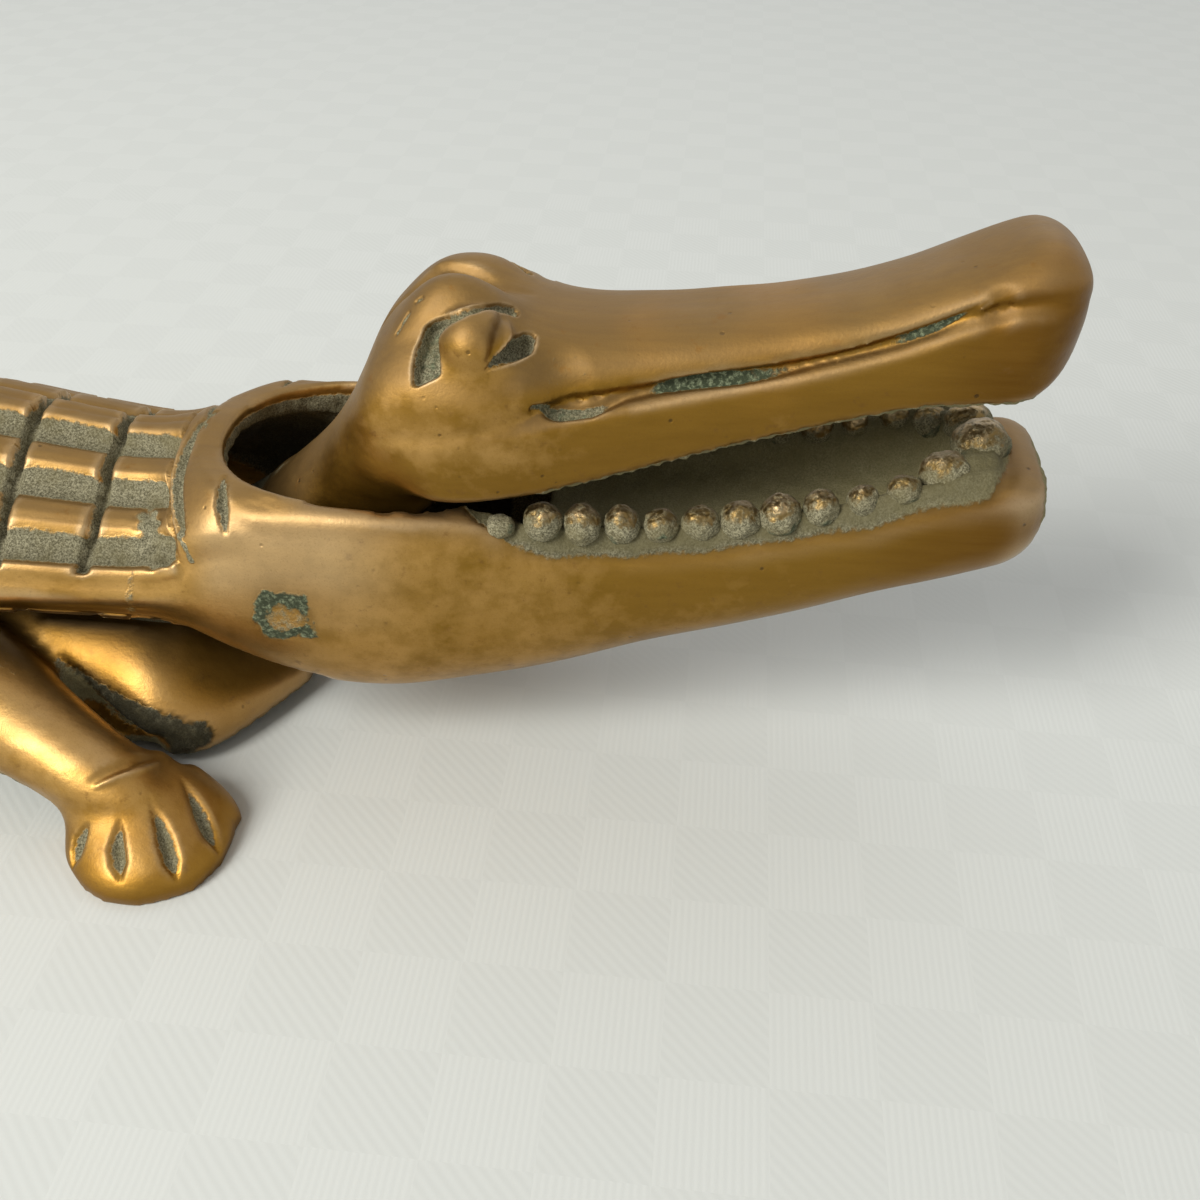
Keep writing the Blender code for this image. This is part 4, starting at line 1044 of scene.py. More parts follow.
# %% Mark the rough and the green places of the head, and its painted shade
hollow = hollows(head, points, 16)
in_body = 1 - ramp(z, 33, 38)
neck_spot = np.array(trace(skin_tree, [SCUFF_PLACE])[0])
scuff = 1 - ramp(np.linalg.norm(points - neck_spot, axis=1) + ripple(points, 2.5, 79), 0.8, 3.2)
lip_grime = ramp(hollow, 0.16, 0.45) * (x > 33) * (x < 92) * (z > 56) * 0.6 * patches
bare_lip = 1 - ramp(lip, 0.1, 0.3) * band(along_lip, 0.16, 0.2, 0.26, 0.3) * 0.8
patina = np.maximum.reduce([
    ramp(carved, 0.3, 0.7) * bare_lip, ramp(valley, 0.5, 1.1) * 0.35, ramp(slits, 0.1, 0.3),
    gum, in_body * (x < 20), ramp(hollow, 0.25, 0.7) * 0.9, lip_grime, scuff * 0.55,
    stipple * 0.24,
])
# Browner at the back of the head and towards the nose.
browning = np.interp(x, (8, 16, 30, 46, 80, 92, 100), (0.5, 0.2, 0.14, 0.5, 0.6, 0.92, 1.0))
# Painted shade on the top of the head behind the brows.
behind_brow = ramp(z, 66, 70) * (1 - ramp(x, 18, 30)) * 0.7
# Painted shade: the cheek darker towards its bottom, where it reflects the dark rim below.
low_cheek = (1 - ramp(z, 50, 59)) * 0.62
paint(
    head,
    patina=relax(head, patina, 1),
    verdigris=np.maximum.reduce([
        ramp(socket, 0.6, 1.4) * 0.5, ramp(wedge, 0.5, 1.2) * 0.42, ramp(lip, 0.15, 0.4) * patches,
    ]),
    # Rubbed convex edges, lighter as wear and as a painted highlight.
    polish=ramp(-hollow, 0.08, 0.45) * (1 - np.clip(patina, 0, 1)),
    # Painted shade on the neck inside the opening and under the upper jaw.
    dark=np.maximum(in_body * 0.8, gum * 0.2),
    # Browner by place, and painted shade behind the brows, at the bottom of the cheek, in the lid
    # crease and under the upper jaw.
    tarnish=np.maximum.reduce([
        browning, low_cheek, ramp(lid, 0.2, 0.8) * 0.7, behind_brow, stipple * 0.65, under,
    ]),
    # Painted shade on the upward-facing tops.
    dull=ramp(normals[:, 2], 0.2, 0.65),
)
head.data.shade_smooth()
print("eye cut %.2f mm deep" % carved.max())

# %% [markdown]
# ## The leg frame
#
# Four legs and the frame under the body are one casting. The limbs are tubes swept
# along a smooth path, and each foot is a fan with a flat sole. The remesh melts them
# together. The toes are then parted by carved grooves that deepen to the front edge.

# %% Outline of the leg frame
FRAME_HALF = (
    (-146, 7.0), (-138, 15.0), (-124, 20.0), (-108, 19.0), (-92, 15.0), (-72, 15.0),
    (-56, 17.0), (-44, 19.0), (-30, 22.2), (-21, 24.4), (-15, 22.4), (-9, 13.6), (-4, 4.6),
)
FRAME_TOP = (
    (-146, 9.0), (-138, 15.0), (-124, 19.6), (-108, 19.6), (-92, 16.0), (-72, 16.0),
    (-58, 19.4), (-44, 20.6), (-30, 20.2), (-22, 17.6), (-15, 12.6), (-9, 8.0), (-4, 4.6),
)
FRAME_UNDERSIDE = 1.5
FRONT_LEG = (
    (-59.5, 17, 12.6, 3.0), (-57.5, 18, 12.6, 6.6), (-53, 20.6, 12.8, 8.8),
    (-45, 25.4, 12.4, 8.5), (-36, 30.4, 11.2, 7.5), (-28, 34.2, 9.6, 6.6),
    (-22, 36.6, 7.6, 6.0), (-17, 38.6, 5.4, 4.6),
)
HIND_LEG = (
    (-136.5, 17, 12.6, 3.0), (-134.5, 18, 12.6, 6.8), (-130, 20.6, 12.8, 9.2),
    (-122, 25.4, 12.4, 8.8), (-113, 30.4, 11.2, 7.6), (-105, 34.2, 9.6, 6.6),
    (-99, 36.6, 7.6, 6.0), (-94, 38.6, 5.4, 4.6),
)
FOOT_FAN = (
    (0, 8.0, 10.4), (4, 11.0, 10.2), (8.5, 12.8, 9.2), (13, 12.0, 7.8), (17.4, 9.7, 6.0),
    (20.3, 6.6, 4.2), (21.6, 4.2, 2.6),
)
FEET = ((-22.0, 30.6, 27.0), (-98.0, 30.6, 20.0))
HIND_SHIFT = -76


def frame_section(x, wall=0.0):
    """The arched frame under the body, or its hollow when a wall is given."""
    half = read_curve(FRAME_HALF, x) - wall
    top = read_curve(FRAME_TOP, x) - wall
    edge = FRAME_UNDERSIDE + min(2.6, (top - FRAME_UNDERSIDE) / 2)
    low = [(half, -3.0)]
    if not wall:
        low = [(half - 0.4, FRAME_UNDERSIDE + 0.4), (half - 0.8, FRAME_UNDERSIDE)]
    return both_sides(np.vstack([dome(half, edge, top, 2.4, 28), low]))


def limb(name, path, side):
    """A tapering tube swept along a smooth path of (x, y, z, radius) points."""
    path = np.array(path, float)
    t = np.linspace(0, len(path) - 1, 60)
    knots = list(range(len(path)))
    x, y, z, radius = (read_curve(list(zip(knots, path[:, k])), t) for k in range(4))
    centres = np.column_stack([x, side * y, z])
    along = np.gradient(centres, axis=0)
    along /= np.linalg.norm(along, axis=1)[:, None]
    across = np.cross(along, (0, 0, 1))
    across /= np.linalg.norm(across, axis=1)[:, None]
    up = np.cross(across, along)
    a = np.linspace(0, 2 * pi, 40, endpoint=False)
    rings = []
    for k in range(len(t)):
        circle = np.outer(np.cos(a), across[k]) + np.outer(np.sin(a), up[k])
        rings.append(centres[k] + radius[k] * circle)
    return solid(name, rings)


def foot(name, foot_x, foot_y, turn, side):
    """A fan with a flat sole, from the heel out along the toes."""
    spin = radians(turn)
    heel = np.array((foot_x, side * foot_y, 0))
    along = np.array((sin(spin), side * cos(spin), 0))
    across = np.array((cos(spin), -side * sin(spin), 0))
    fan = np.array(FOOT_FAN, float)
    rings = []
    for out in np.linspace(0, fan[-1, 0], 30):
        half, high = (read_curve(fan[:, (0, column)], out) for column in (1, 2))
        a = np.linspace(0, pi, 41)
        rise = np.maximum(0.0, (high + 1.5) * power(np.sin(a), 2.4) - 1.5)
        spread = np.outer(half * np.cos(a), across) + np.outer(rise, (0, 0, 1))
        rings.append(heel + along * out + spread)
    return solid(name, rings)


# %% Melt and cut the leg frame
legs = loft("leg_frame_skin", np.arange(-146, -3.9, 1.2), frame_section)
limbs = []
for side in (-1, 1):
    limbs += [limb("front_leg", FRONT_LEG, side), limb("hind_leg", HIND_LEG, side)]
    limbs += [foot("foot", *numbers, side) for numbers in FEET]
gather(legs, *limbs)
remesh(legs, 0.85)
SCREW_PROFILE = ((-3.0, 4.8), (6.0, 4.8), (6.0, 2.8), (24.3, 2.8))
seat_ends = ((-12.4, 16.7), (12.4, 16.7), (12.4, 29.0), (-12.4, 29.0))
cut(
    legs,
    loft("frame_hollow", np.linspace(-140, -50, 40), lambda x: frame_section(x, 4.4)),
    loft("seat", (-42.8, 10.0), lambda x: np.array(seat_ends)),
    turned("hole_front", SCREW_PROFILE, (-15.0, 0, 0), 2, 40),
    turned("hole_rear", SCREW_PROFILE, (-35.0, 0, 0), 2, 40),
)
remesh(legs, 0.85)
points = relax(legs, read_points(legs), 5)
out_from_middle, below_ankle = np.abs(points[:, 1]), 1 - ramp(points[:, 2], 8, 11)
round_feet = ramp(out_from_middle, 34, 38) * ramp(points[:, 2], 0.2, 1.4) * below_ankle
sole_rims = ramp(out_from_middle, 33, 36) * below_ankle
rounder = relax(legs, points, 40) - points
points[:, :2] += sole_rims[:, None] * rounder[:, :2]
points[:, 2] += round_feet * rounder[:, 2]
write_points(legs, points)
fine = (np.abs(points[:, 1]) > 29) & (points[:, 2] < 14)
points = refine(legs, fine)
write_points(legs, relax(legs, points, 1))
print("leg frame:", len(legs.data.polygons), "faces")

# %% Carve the toes, the ankles and the hollows behind the legs
TOE_PATHS = (
    [(88, 822), (78, 842), (72, 866), (80, 898)],
    [(120, 818), (116, 848), (120, 880), (130, 906)],
    [(148, 796), (160, 824), (170, 856), (177, 880)],
    [(180, 778), (196, 804), (208, 828), (219, 852)],
)
TOE_WIDTHS, TOE_DEPTHS = (0.15, 1.1, 1.7, 1.7, 0.6), (0.1, 0.8, 1.4, 1.3, 0.3)
CUFF_PATH = [(96, 787), (110, 780), (126, 774), (142, 768), (157, 763)]
WRIST_PATH = [(92, 781), (106, 773), (124, 766), (141, 760), (158, 756)]
SOLE_BLEND = 0.8
V_PATH = [(58, 658), (72, 680), (92, 704), (116, 727), (146, 746), (182, 757)]
CRUST_PATH = [(66, 664), (84, 678), (104, 695), (128, 712), (154, 728), (180, 740), (196, 736)]
points = read_points(legs)
normals = read_normals(legs)
skin_tree = skin_of(legs)


def carve_legs(path, widths, depths, sharpness=1.0):
    """Depth of one groove on all four legs, from its path on the near front leg."""
    near = trace(skin_tree, path)
    moves = ((True, 0), (False, HIND_SHIFT), (True, HIND_SHIFT))
    lines = [near] + [copied(skin_tree, near, *move) for move in moves]
    return deepest(points, lines, widths, depths, sharpness)


toes = np.maximum.reduce([carve_legs(path, TOE_WIDTHS, TOE_DEPTHS) for path in TOE_PATHS])
cuff = carve_legs(CUFF_PATH, (0.5, 0.9, 1.0, 0.9, 0.5), (0.2, 0.5, 0.6, 0.5, 0.2))
wrist = carve_legs(WRIST_PATH, (0.8, 1.4, 1.6, 1.4, 0.8), (0.2, 0.5, 0.6, 0.5, 0.2))
recess = carve_legs(V_PATH, (1.2, 2.4, 3.4, 3.8, 4.0, 3.0), (0.4, 1.2, 2.0, 2.4, 2.2, 1.0))
points -= normals * (toes - cuff + wrist + recess * (1 + 0.10 * ripple(points, 1.8, 53)))[:, None]
crust = carve_legs(CRUST_PATH, (0.6, 1.2, 2.2, 3.4, 4.4, 5.0, 3.6), (1.0, 1.0), 0.6)
under = ramp(-normals[:, 2], 0.2, 0.6) * (points[:, 2] > 0.6)
points += normals * (under * 0.15 * ripple(points, 2.4, 37))[:, None]
points += normals * (0.07 * ripple(points, 12.0, 41))[:, None]
x, y, z = points.T
points[:, 2] = np.where(z < SOLE_BLEND, np.maximum(z, 0) ** 2 / SOLE_BLEND, z)
points = fit_in_box(points, "leg_frame")
write_points(legs, points)
hollow = hollows(legs, points, 18)
crusty = ramp(crust + 0.16 * ripple(points, 2.4, 59) + 0.14 * ripple(points, 1.2, 101), 0.12, 0.95)
points += normals * (0.16 * crusty * ripple(points, 1.3, 83))[:, None]
write_points(legs, fit_in_box(points, "leg_frame"))
print("toe grooves %.2f mm deep" % toes.max())

# %% Mark the rough, crusted and brown places of the legs, and their painted shade
x, y, z = points.T
patina = np.maximum.reduce([
    crusty * (0.8 + 0.35 * ripple(points, 1.0, 107)), ramp(toes, 0.25, 0.8) * 0.85,
    under * 0.8, ramp(hollow, 0.2, 0.8) * 0.8, ramp(z, 17.5, 20) * 0.3,
])
# Painted shade in the hollow between each leg and the frame.
shaded = ramp(recess, 0.1, 0.8)
# Darker towards the table.
low_down = 0.72 * (1 - ramp(z, 1, 8))
# Browner in the middle of the frame, under the body.
frame_brown = 0.42 * (1 - ramp(np.abs(y), 22, 28))
speckle = 0.85 + 0.25 * ripple(points, 1.1, 103)
bare = 1 - np.clip(patina, 0, 1)
paint(
    legs,
    patina=relax(legs, patina, 1),
    verdigris=under * 0.15,
    # Rubbed convex edges, lighter as wear and as a painted highlight.
    polish=ramp(-hollow, 0.08, 0.5) * bare * (1 - shaded) * 0.7,
    # Black crust, and painted shade on the undersides.
    dark=np.maximum(ramp(crusty, 0.1, 0.5) * speckle * 1.2, under * 0.5),
    # Browner low down and in the middle of the frame, and painted shade in the hollows behind the
    # legs.
    tarnish=np.maximum.reduce([np.full(len(points), 0.10), frame_brown, low_down, shaded]),
    # Painted shade on the upward-facing tops.
    dull=0.6 * ramp(normals[:, 2], 0.6, 0.98),
)
legs.data.shade_smooth()

# %% [markdown]
# ## Bead teeth
#
# The teeth are drops of metal that stand in a row along the gum, each a little
# different. They repeat along a line, so a Geometry Nodes tree sets one bead on each
# point, sized by an attribute, and then pushes its skin in and out with noise.

# %% The points that carry the beads
TIP_BEADS = ((88.0, -6.2, 3.3), (93.0, -0.6, 4.0), (92.2, 5.4, 3.3), (87.4, 8.0, 2.7))
BEAD_RADIUS = 2.7
bead_places, bead_sizes = [], []
random = np.random.default_rng(8)
for bead_x in (29.6, *np.linspace(35.2, 82.6, 10)):
    for side in (-1, 1):
        gum_y = read_curve(BODY_HALF, bead_x) - 3.5
        rise = -2.2 if bead_x < 32 else (1.0 if side < 0 else 2.4)
        bead_places.append((bead_x, side * gum_y, read_curve(BODY_TOP, bead_x) + rise))
        share = 0.7 if bead_x < 32 else 0.82 if bead_x > 76 else 1.0
        bead_sizes.append(BEAD_RADIUS * random.uniform(0.93, 1.06) * share)
for bead_x, bead_y, radius in TIP_BEADS:
    bead_places.append((bead_x, bead_y, read_curve(BODY_TOP, bead_x) + 0.6))
    bead_sizes.append(radius)
bead_points = bpy.data.meshes.new("bead_points")
bead_points.from_pydata([place(*p) for p in bead_places], [], [])
sizes = bead_points.attributes.new("bead_radius", "FLOAT", "POINT")
sizes.data.foreach_set("value", np.array(bead_sizes, np.float32) * MM)
teeth = put_in_scene("bead_teeth", bead_points)
print("beads:", len(bead_places))

# %% The tree that sets the beads
beads = bpy.data.node_groups.new("row_of_beads", "GeometryNodeTree")
_, unevenness, seed, metal = new_sockets(
    beads, "INPUT", Geometry="Geometry", Unevenness="Float", Seed="Int", Metal="Material",
)
new_sockets(beads, "OUTPUT", Geometry="Geometry")
start = add(beads, "NodeGroupInput")
end = add(beads, "NodeGroupOutput")
drop_shape = add(beads, "GeometryNodeMeshIcoSphere", Radius=1.0, Subdivisions=5)
radius = add(
    beads, "GeometryNodeInputNamedAttribute", data_type="FLOAT", Name="bead_radius",
)
stretch = add(
    beads, "FunctionNodeRandomValue", data_type="FLOAT_VECTOR",
    Min=(0.9, 0.88, 0.86), Max=(1.1, 1.04, 1.06),
)
sized = add(beads, "ShaderNodeVectorMath", operation="SCALE")
setter = add(beads, "GeometryNodeInstanceOnPoints")
noise = add(beads, "ShaderNodeTexNoise", Scale=620.0, Detail=3.0)
centred = add(beads, "ShaderNodeMath", operation="SUBTRACT")
centred.inputs[1].default_value = 0.5
amount = add(beads, "ShaderNodeMath", operation="MULTIPLY")
outward = add(beads, "GeometryNodeInputNormal")
push = add(beads, "ShaderNodeVectorMath", operation="SCALE")
real = add(beads, "GeometryNodeRealizeInstances")
moved = add(beads, "GeometryNodeSetPosition")
smooth = add(beads, "GeometryNodeSetShadeSmooth")
finish = add(beads, "GeometryNodeSetMaterial")
link_all(
    beads,
    (start.outputs["Seed"], stretch.inputs["Seed"]),
    (stretch.outputs["Value"], sized.inputs[0]),
    (radius.outputs["Attribute"], sized.inputs["Scale"]),
    (start.outputs["Geometry"], setter.inputs["Points"]),
    (drop_shape.outputs["Mesh"], setter.inputs["Instance"]),
    (sized.outputs["Vector"], setter.inputs["Scale"]),
    (noise.outputs[0], centred.inputs[0]),
    (centred.outputs[0], amount.inputs[0]),
    (start.outputs["Unevenness"], amount.inputs[1]),
    (outward.outputs["Normal"], push.inputs[0]),
    (amount.outputs[0], push.inputs["Scale"]),
    (push.outputs["Vector"], moved.inputs["Offset"]),
    (start.outputs["Metal"], finish.inputs["Material"]),
)
flow = setter.outputs["Instances"]
for node in (real, moved, smooth, finish):
    beads.links.new(flow, node.inputs["Geometry"])
    flow = node.outputs["Geometry"]
beads.links.new(flow, end.inputs["Geometry"])
print("tree of the beads:", len(beads.nodes), "nodes")

# %% [markdown]
# ## Aged brass
#
# The brass has three looks. Where cloth and hands reach, it is a warm satin gold with
# brown clouds, fine pits and faint scratches. In the carved places it was left as cast
# and is a matte grey-green. Here and there sits a crust of mint-green verdigris. Some
# masks also paint shade into recesses, under parts and onto the tops, and highlights
# onto rubbed edges. The masks were painted on the points while carving, and the node
# group turns them into one colour, one roughness and one height.

# %% The node group for aged brass
brass = bpy.data.node_groups.new("aged_brass", "ShaderNodeTree")
mask_inputs = {mask.capitalize(): "Float" for mask in MASKS}
new_sockets(brass, "INPUT", Vector="Vector", **mask_inputs, Bright="Color", Brown="Color")
new_sockets(
    brass, "OUTPUT", Color="Color", Metallic="Float", Roughness="Float", Coat="Float", Height="Float",
)
given = add(brass, "NodeGroupInput").outputs
result = add(brass, "NodeGroupOutput")


def connect(socket, value):
    """Link a socket to an output, or give it a plain number or colour."""
    if isinstance(value, (int, float)):
        socket.default_value = value
    elif isinstance(value, tuple):
        socket.default_value = (*value, 1.0)
    else:
        brass.links.new(value, socket)


def cloud(scale, detail, stretch=None, roughness=0.55):
    """Noise on the object's own coordinates, as a value from 0 to 1."""
    node = add(brass, "ShaderNodeTexNoise", Scale=scale, Detail=detail, Roughness=roughness)
    source = given["Vector"]
    if stretch:
        mapping = add(brass, "ShaderNodeMapping", Scale=stretch)
        connect(mapping.inputs["Vector"], source)
        source = mapping.outputs["Vector"]
    connect(node.inputs["Vector"], source)
    return node.outputs[0]


def rescale(value, low, high, start=0.0, stop=1.0):
    """Stretch a value smoothly, so that low gives start and high gives stop."""
    node = add(
        brass, "ShaderNodeMapRange", interpolation_type="SMOOTHSTEP",
        From_Min=low, From_Max=high, To_Min=start, To_Max=stop,
    )
    connect(node.inputs["Value"], value)
    return node.outputs["Result"]


def maths(operation, one, two, clamp=False):
    """One sum on two sockets or numbers."""
    node = add(brass, "ShaderNodeMath", operation=operation, use_clamp=clamp)
    for socket, value in zip(node.inputs, (one, two)):
        connect(socket, value)
    return node.outputs[0]


def plus(one, two, clamp=False):
    """Their sum."""
    return maths("ADD", one, two, clamp)


def minus(one, two, clamp=False):
    """Their difference."""
    return maths("SUBTRACT", one, two, clamp)


def times(one, two):
    """Their product."""
    return maths("MULTIPLY", one, two)


def blend(share, one, two):
    """Mix two colours, each a socket or a plain colour."""
    node = add(brass, "ShaderNodeMix", data_type="RGBA")
    sockets = [s for s in node.inputs if s.enabled]
    for socket, value in zip(sockets, (share, one, two)):
        connect(socket, value)
    return [s for s in node.outputs if s.enabled][0]


# %% Stains, spots, scratches and pits
stains = rescale(cloud(55.0, 5.0), 0.36, 0.68)
spots = rescale(cloud(420.0, 4.0, roughness=0.65), 0.60, 0.74)
grain = cloud(1500.0, 3.0, roughness=0.7)
fine_grain = cloud(3600.0, 4.0, roughness=0.75)
streaks = cloud(1.0, 3.0, stretch=(70.0, 900.0, 900.0))
rosy = rescale(cloud(26.0, 2.0), 0.56, 0.72)
mottle = rescale(cloud(310.0, 5.0, roughness=0.6), 0.38, 0.66, 0.0, 0.34)
pits = add(brass, "ShaderNodeTexVoronoi", Scale=330.0)
connect(pits.inputs["Vector"], given["Vector"])
pit = rescale(pits.outputs["Distance"], 0.05, 0.13, 1.0, 0.0)
pit = times(pit, rescale(cloud(90.0, 2.0), 0.52, 0.66))
edge_noise = times(minus(cloud(1300.0, 3.0), 0.5), 0.7)
matte = rescale(plus(given["Patina"], edge_noise), 0.32, 0.66)
crust = rescale(plus(given["Verdigris"], edge_noise), 0.40, 0.75)
covered = maths("MAXIMUM", matte, crust)

# %% The colour of the brass, layer on layer
DEEP_BROWN, GREY_BROWN, ROSY_BROWN = (0.12, 0.048, 0.002), (0.155, 0.093, 0.036), (0.34, 0.155, 0.022)
SPOT_BROWN, SCRATCH_GOLD, RUBBED_GOLD = (0.16, 0.075, 0.018), (0.58, 0.34, 0.07), (0.62, 0.46, 0.27)
PIT_BROWN, GRAIN_BROWN, NEAR_BLACK = (0.05, 0.03, 0.012), (0.16, 0.08, 0.02), (0.018, 0.015, 0.006)
PATINA_LOW, PATINA_HIGH = (0.095, 0.085, 0.046), (0.39, 0.36, 0.235)
PATINA_STAIN, PATINA_IN_MOUTH = (0.16, 0.135, 0.06), (0.27, 0.235, 0.11)
MINT_LOW, MINT_HIGH = (0.05, 0.062, 0.034), (0.27, 0.31, 0.19)
stained = plus(times(stains, 0.55), mottle)
# Browner metal where the brass is tarnished and where shade is painted.
browned = plus(minus(stained, 0.1), times(given["Tarnish"], 1.6), clamp=True)
metal_colour = blend(browned, given["Bright"], given["Brown"])
for share, tone in (
    # Deep brown at the tip and nose, and as painted shade in creases, undercuts and under parts.
    (rescale(given["Tarnish"], 0.55, 1.0), DEEP_BROWN),
    # Painted shade on the tops: grey-brown where the skin faces up.
    (times(given["Dull"], 0.9), GREY_BROWN),
    (times(rosy, 0.3), ROSY_BROWN),
    (times(spots, 0.65), SPOT_BROWN),
    (times(streaks, 0.16), SCRATCH_GOLD),
    # Rubbed edges lighter and creamier: partly real wear, partly a painted highlight.
    (times(given["Polish"], 0.5), RUBBED_GOLD),
    (times(pit, 0.7), PIT_BROWN),
    (rescale(fine_grain, 0.5, 0.75, 0.0, 0.34), GRAIN_BROWN),
):
    metal_colour = blend(share, metal_colour, tone)
old_colour = blend(rescale(fine_grain, 0.36, 0.66), PATINA_LOW, PATINA_HIGH)
old_colour = blend(rescale(cloud(260.0, 4.0), 0.38, 0.72, 0.0, 0.6), old_colour, PATINA_STAIN)
in_mouth = rescale(given["Tarnish"], 0.6, 1.0, 0.0, 0.65)
old_colour = blend(in_mouth, old_colour, PATINA_IN_MOUTH)
colour = blend(matte, metal_colour, old_colour)
colour = blend(crust, colour, blend(rescale(grain, 0.44, 0.74), MINT_LOW, MINT_HIGH))
# Painted shade and crust: near black in recesses, channels and undersides where shade falls, and on
# the black crust.
colour = blend(times(given["Dark"], 0.85), colour, NEAR_BLACK)

# %% How metallic, rough, waxed and high it is
metallic = minus(0.96, times(covered, 0.83), clamp=True)
satin = rescale(plus(times(stains, 0.6), times(streaks, 0.4)), 0.2, 0.8, 0.36, 0.47)
# The same tops are also rougher.
rough_value = plus(plus(satin, times(covered, 0.35)), times(given["Dull"], 0.14))
rough_value = minus(rough_value, times(given["Polish"], 0.05), clamp=True)
gloss = plus(times(given["Polish"], 0.3), 0.08)
waxed = times(minus(1.0, covered, clamp=True), gloss)
raised = plus(times(grain, plus(times(matte, 0.9), 0.14)), times(streaks, 0.06))
raised = plus(minus(raised, times(pit, 0.5)), times(crust, 0.5))
for name, value in (
    ("Color", colour), ("Metallic", metallic), ("Roughness", rough_value), ("Coat", waxed),
    ("Height", raised),
):
    connect(result.inputs[name], value)
print("aged brass:", len(brass.nodes), "nodes")


# %% A brass for each casting
def cast_brass(name, bright, brown):
    """A metal that reads the painted masks."""
    material, tree, shader = new_material(name, Coat_Roughness=0.32, Specular_IOR_Level=0.25)
    group = add(tree, "ShaderNodeGroup", node_tree=brass)
    group.inputs["Bright"].default_value = (*bright, 1)
    group.inputs["Brown"].default_value = (*brown, 1)
    for mask in MASKS:
        reader = add(tree, "ShaderNodeAttribute", attribute_name=mask)
        tree.links.new(reader.outputs["Fac"], group.inputs[mask.capitalize()])
    bump = add(tree, "ShaderNodeBump", Strength=0.45, Distance=0.0006)
    link_all(
        tree,
        (add(tree, "ShaderNodeTexCoord").outputs["Object"], group.inputs["Vector"]),
        (group.outputs["Color"], shader.inputs["Base Color"]),
        (group.outputs["Metallic"], shader.inputs["Metallic"]),
        (group.outputs["Roughness"], shader.inputs["Roughness"]),
        (group.outputs["Coat"], shader.inputs["Coat Weight"]),
        (group.outputs["Height"], bump.inputs["Height"]),
        (bump.outputs["Normal"], shader.inputs["Normal"]),
    )
    return material


BRIGHT, BROWN = (0.49, 0.285, 0.088), (0.22, 0.115, 0.013)
lever_brass = cast_brass("lever_brass", BRIGHT, BROWN)
head_brass = cast_brass("head_brass", (0.50, 0.295, 0.098), (0.21, 0.107, 0.012))
leg_brass = cast_brass("leg_brass", (0.47, 0.285, 0.095), (0.24, 0.12, 0.014))
tooth_brass = cast_brass("tooth_brass", (0.24, 0.17, 0.08), (0.13, 0.09, 0.035))
pin_brass = cast_brass("pin_brass", BRIGHT, BROWN)
for piece, material in ((lever, lever_brass), (head, head_brass), (legs, leg_brass)):
    piece.data.materials.append(material)
    print(piece.name, "wears", material.name)

# %% Grow the beads
modifier = teeth.modifiers.new("beads", "NODES")
modifier.node_group = beads
modifier[unevenness.identifier] = 0.0009
modifier[seed.identifier] = 4
modifier[metal.identifier] = tooth_brass
settle(teeth)
points = read_points(teeth)
above_gum = points[:, 2] - read_curve(BODY_TOP, points[:, 0]) + 0.5 * ripple(points, 2.0, 61)
low_green = (1 - ramp(above_gum, 0.6, 1.6)) * ramp(ripple(points, 5.0, 67), 0.0, 0.6)
paint(
    teeth,
    patina=0.95 - ramp(above_gum, 0.8, 2.8) * 0.55,
    verdigris=0.6 * low_green,
    tarnish=0.55,
    # A painted glint on the top of each bead.
    polish=ramp(above_gum, 3.0, 3.8) * 0.5,
)
print("teeth:", len(teeth.data.polygons), "faces")

# %% [markdown]
# ## Pin and screws
#
# The pin is a plain bar that was filed flush with the flanks, so only its two ends
# show, each in a ring of verdigris. It turns with the lever. The two screws under the
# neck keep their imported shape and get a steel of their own.

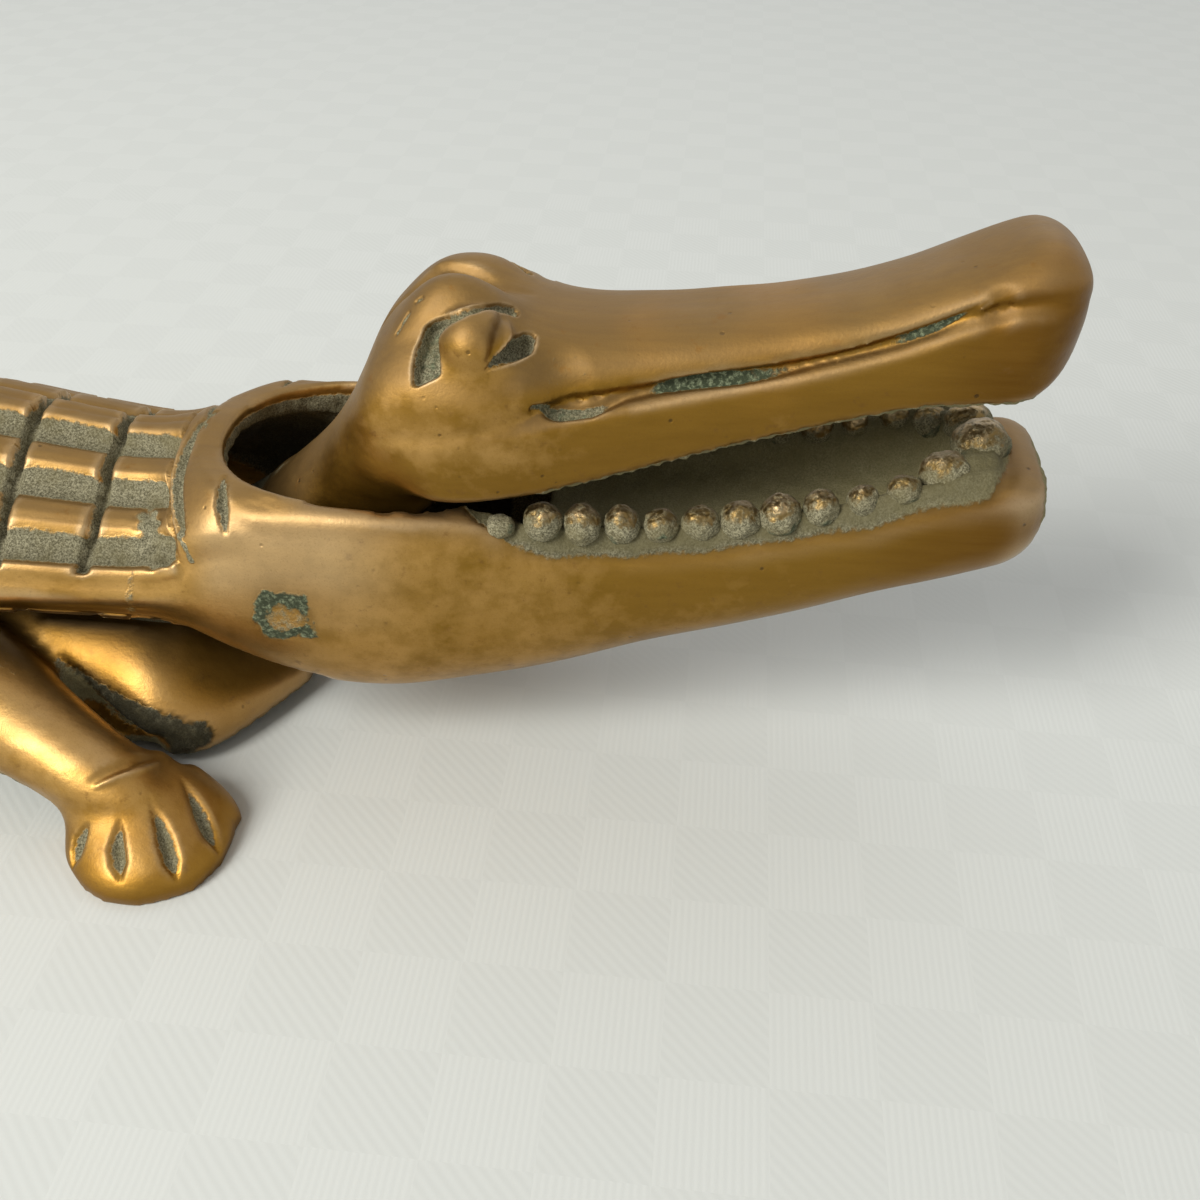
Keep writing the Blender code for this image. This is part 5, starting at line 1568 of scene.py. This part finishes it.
# %% The pin
PIN_HALF = 21.12
pin_end = [(PIN_HALF, radius) for radius in np.arange(0.3, 2.8, 0.3)]
pin_end += [(PIN_HALF - 0.1, 2.9), (PIN_HALF - 0.4, 3.0)]
pin_profile = [(-pin_y, radius) for pin_y, radius in pin_end] + pin_end[::-1]
pin = turned("cross_pin", pin_profile, (0, 0, PIVOT_HEIGHT))
points = fit_in_box(read_points(pin), "pivot_pin")
write_points(pin, points)
pin_ring, pin_film = pin_crust(points)
paint(pin, verdigris=pin_ring, patina=pin_film, dark=pin_ring * 0.3)
pin.data.shade_smooth()
pin.data.set_sharp_from_angle(angle=radians(40))
pin.data.materials.append(pin_brass)
print("pin:", len(pin.data.polygons), "faces")

# %% Steel for the screws
steel, tree, shader = new_material("screw_steel", Metallic=1.0)
where = add(tree, "ShaderNodeTexCoord")
turning = add(tree, "ShaderNodeTexNoise", Scale=700.0, Detail=4.0)
shade = add(tree, "ShaderNodeValToRGB")
for stop, tone in zip(shade.color_ramp.elements, ((0.30, 0.27, 0.22, 1), (0.52, 0.50, 0.46, 1))):
    stop.color = tone
wear = add(tree, "ShaderNodeMapRange", To_Min=0.30, To_Max=0.55)
link_all(
    tree,
    (where.outputs["Object"], turning.inputs["Vector"]),
    (turning.outputs[0], shade.inputs["Fac"]),
    (shade.outputs["Color"], shader.inputs["Base Color"]),
    (turning.outputs[0], wear.inputs["Value"]),
    (wear.outputs["Result"], shader.inputs["Roughness"]),
)
for name in ("neck_screw_front", "neck_screw_rear"):
    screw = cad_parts[name]
    screw.data.materials.clear()
    screw.data.materials.append(steel)
    print(name, "wears", steel.name)

# %% [markdown]
# ## Hand the pieces to their bodies
#
# Each piece rides on the body that carries it, so the jaw opens in the other poses,
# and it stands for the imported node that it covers.

# %% Ride and replace
for piece, body, node, slot in (
    (lever, "lever", "body_casting", "body_brass"),
    (head, "stand", "head_casting", "head_brass"),
    (legs, "stand", "leg_frame", "leg_brass"),
    (pin, "lever", "pivot_pin", "pin_brass"),
):
    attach(piece, body)
    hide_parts(node)
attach(teeth, "lever")
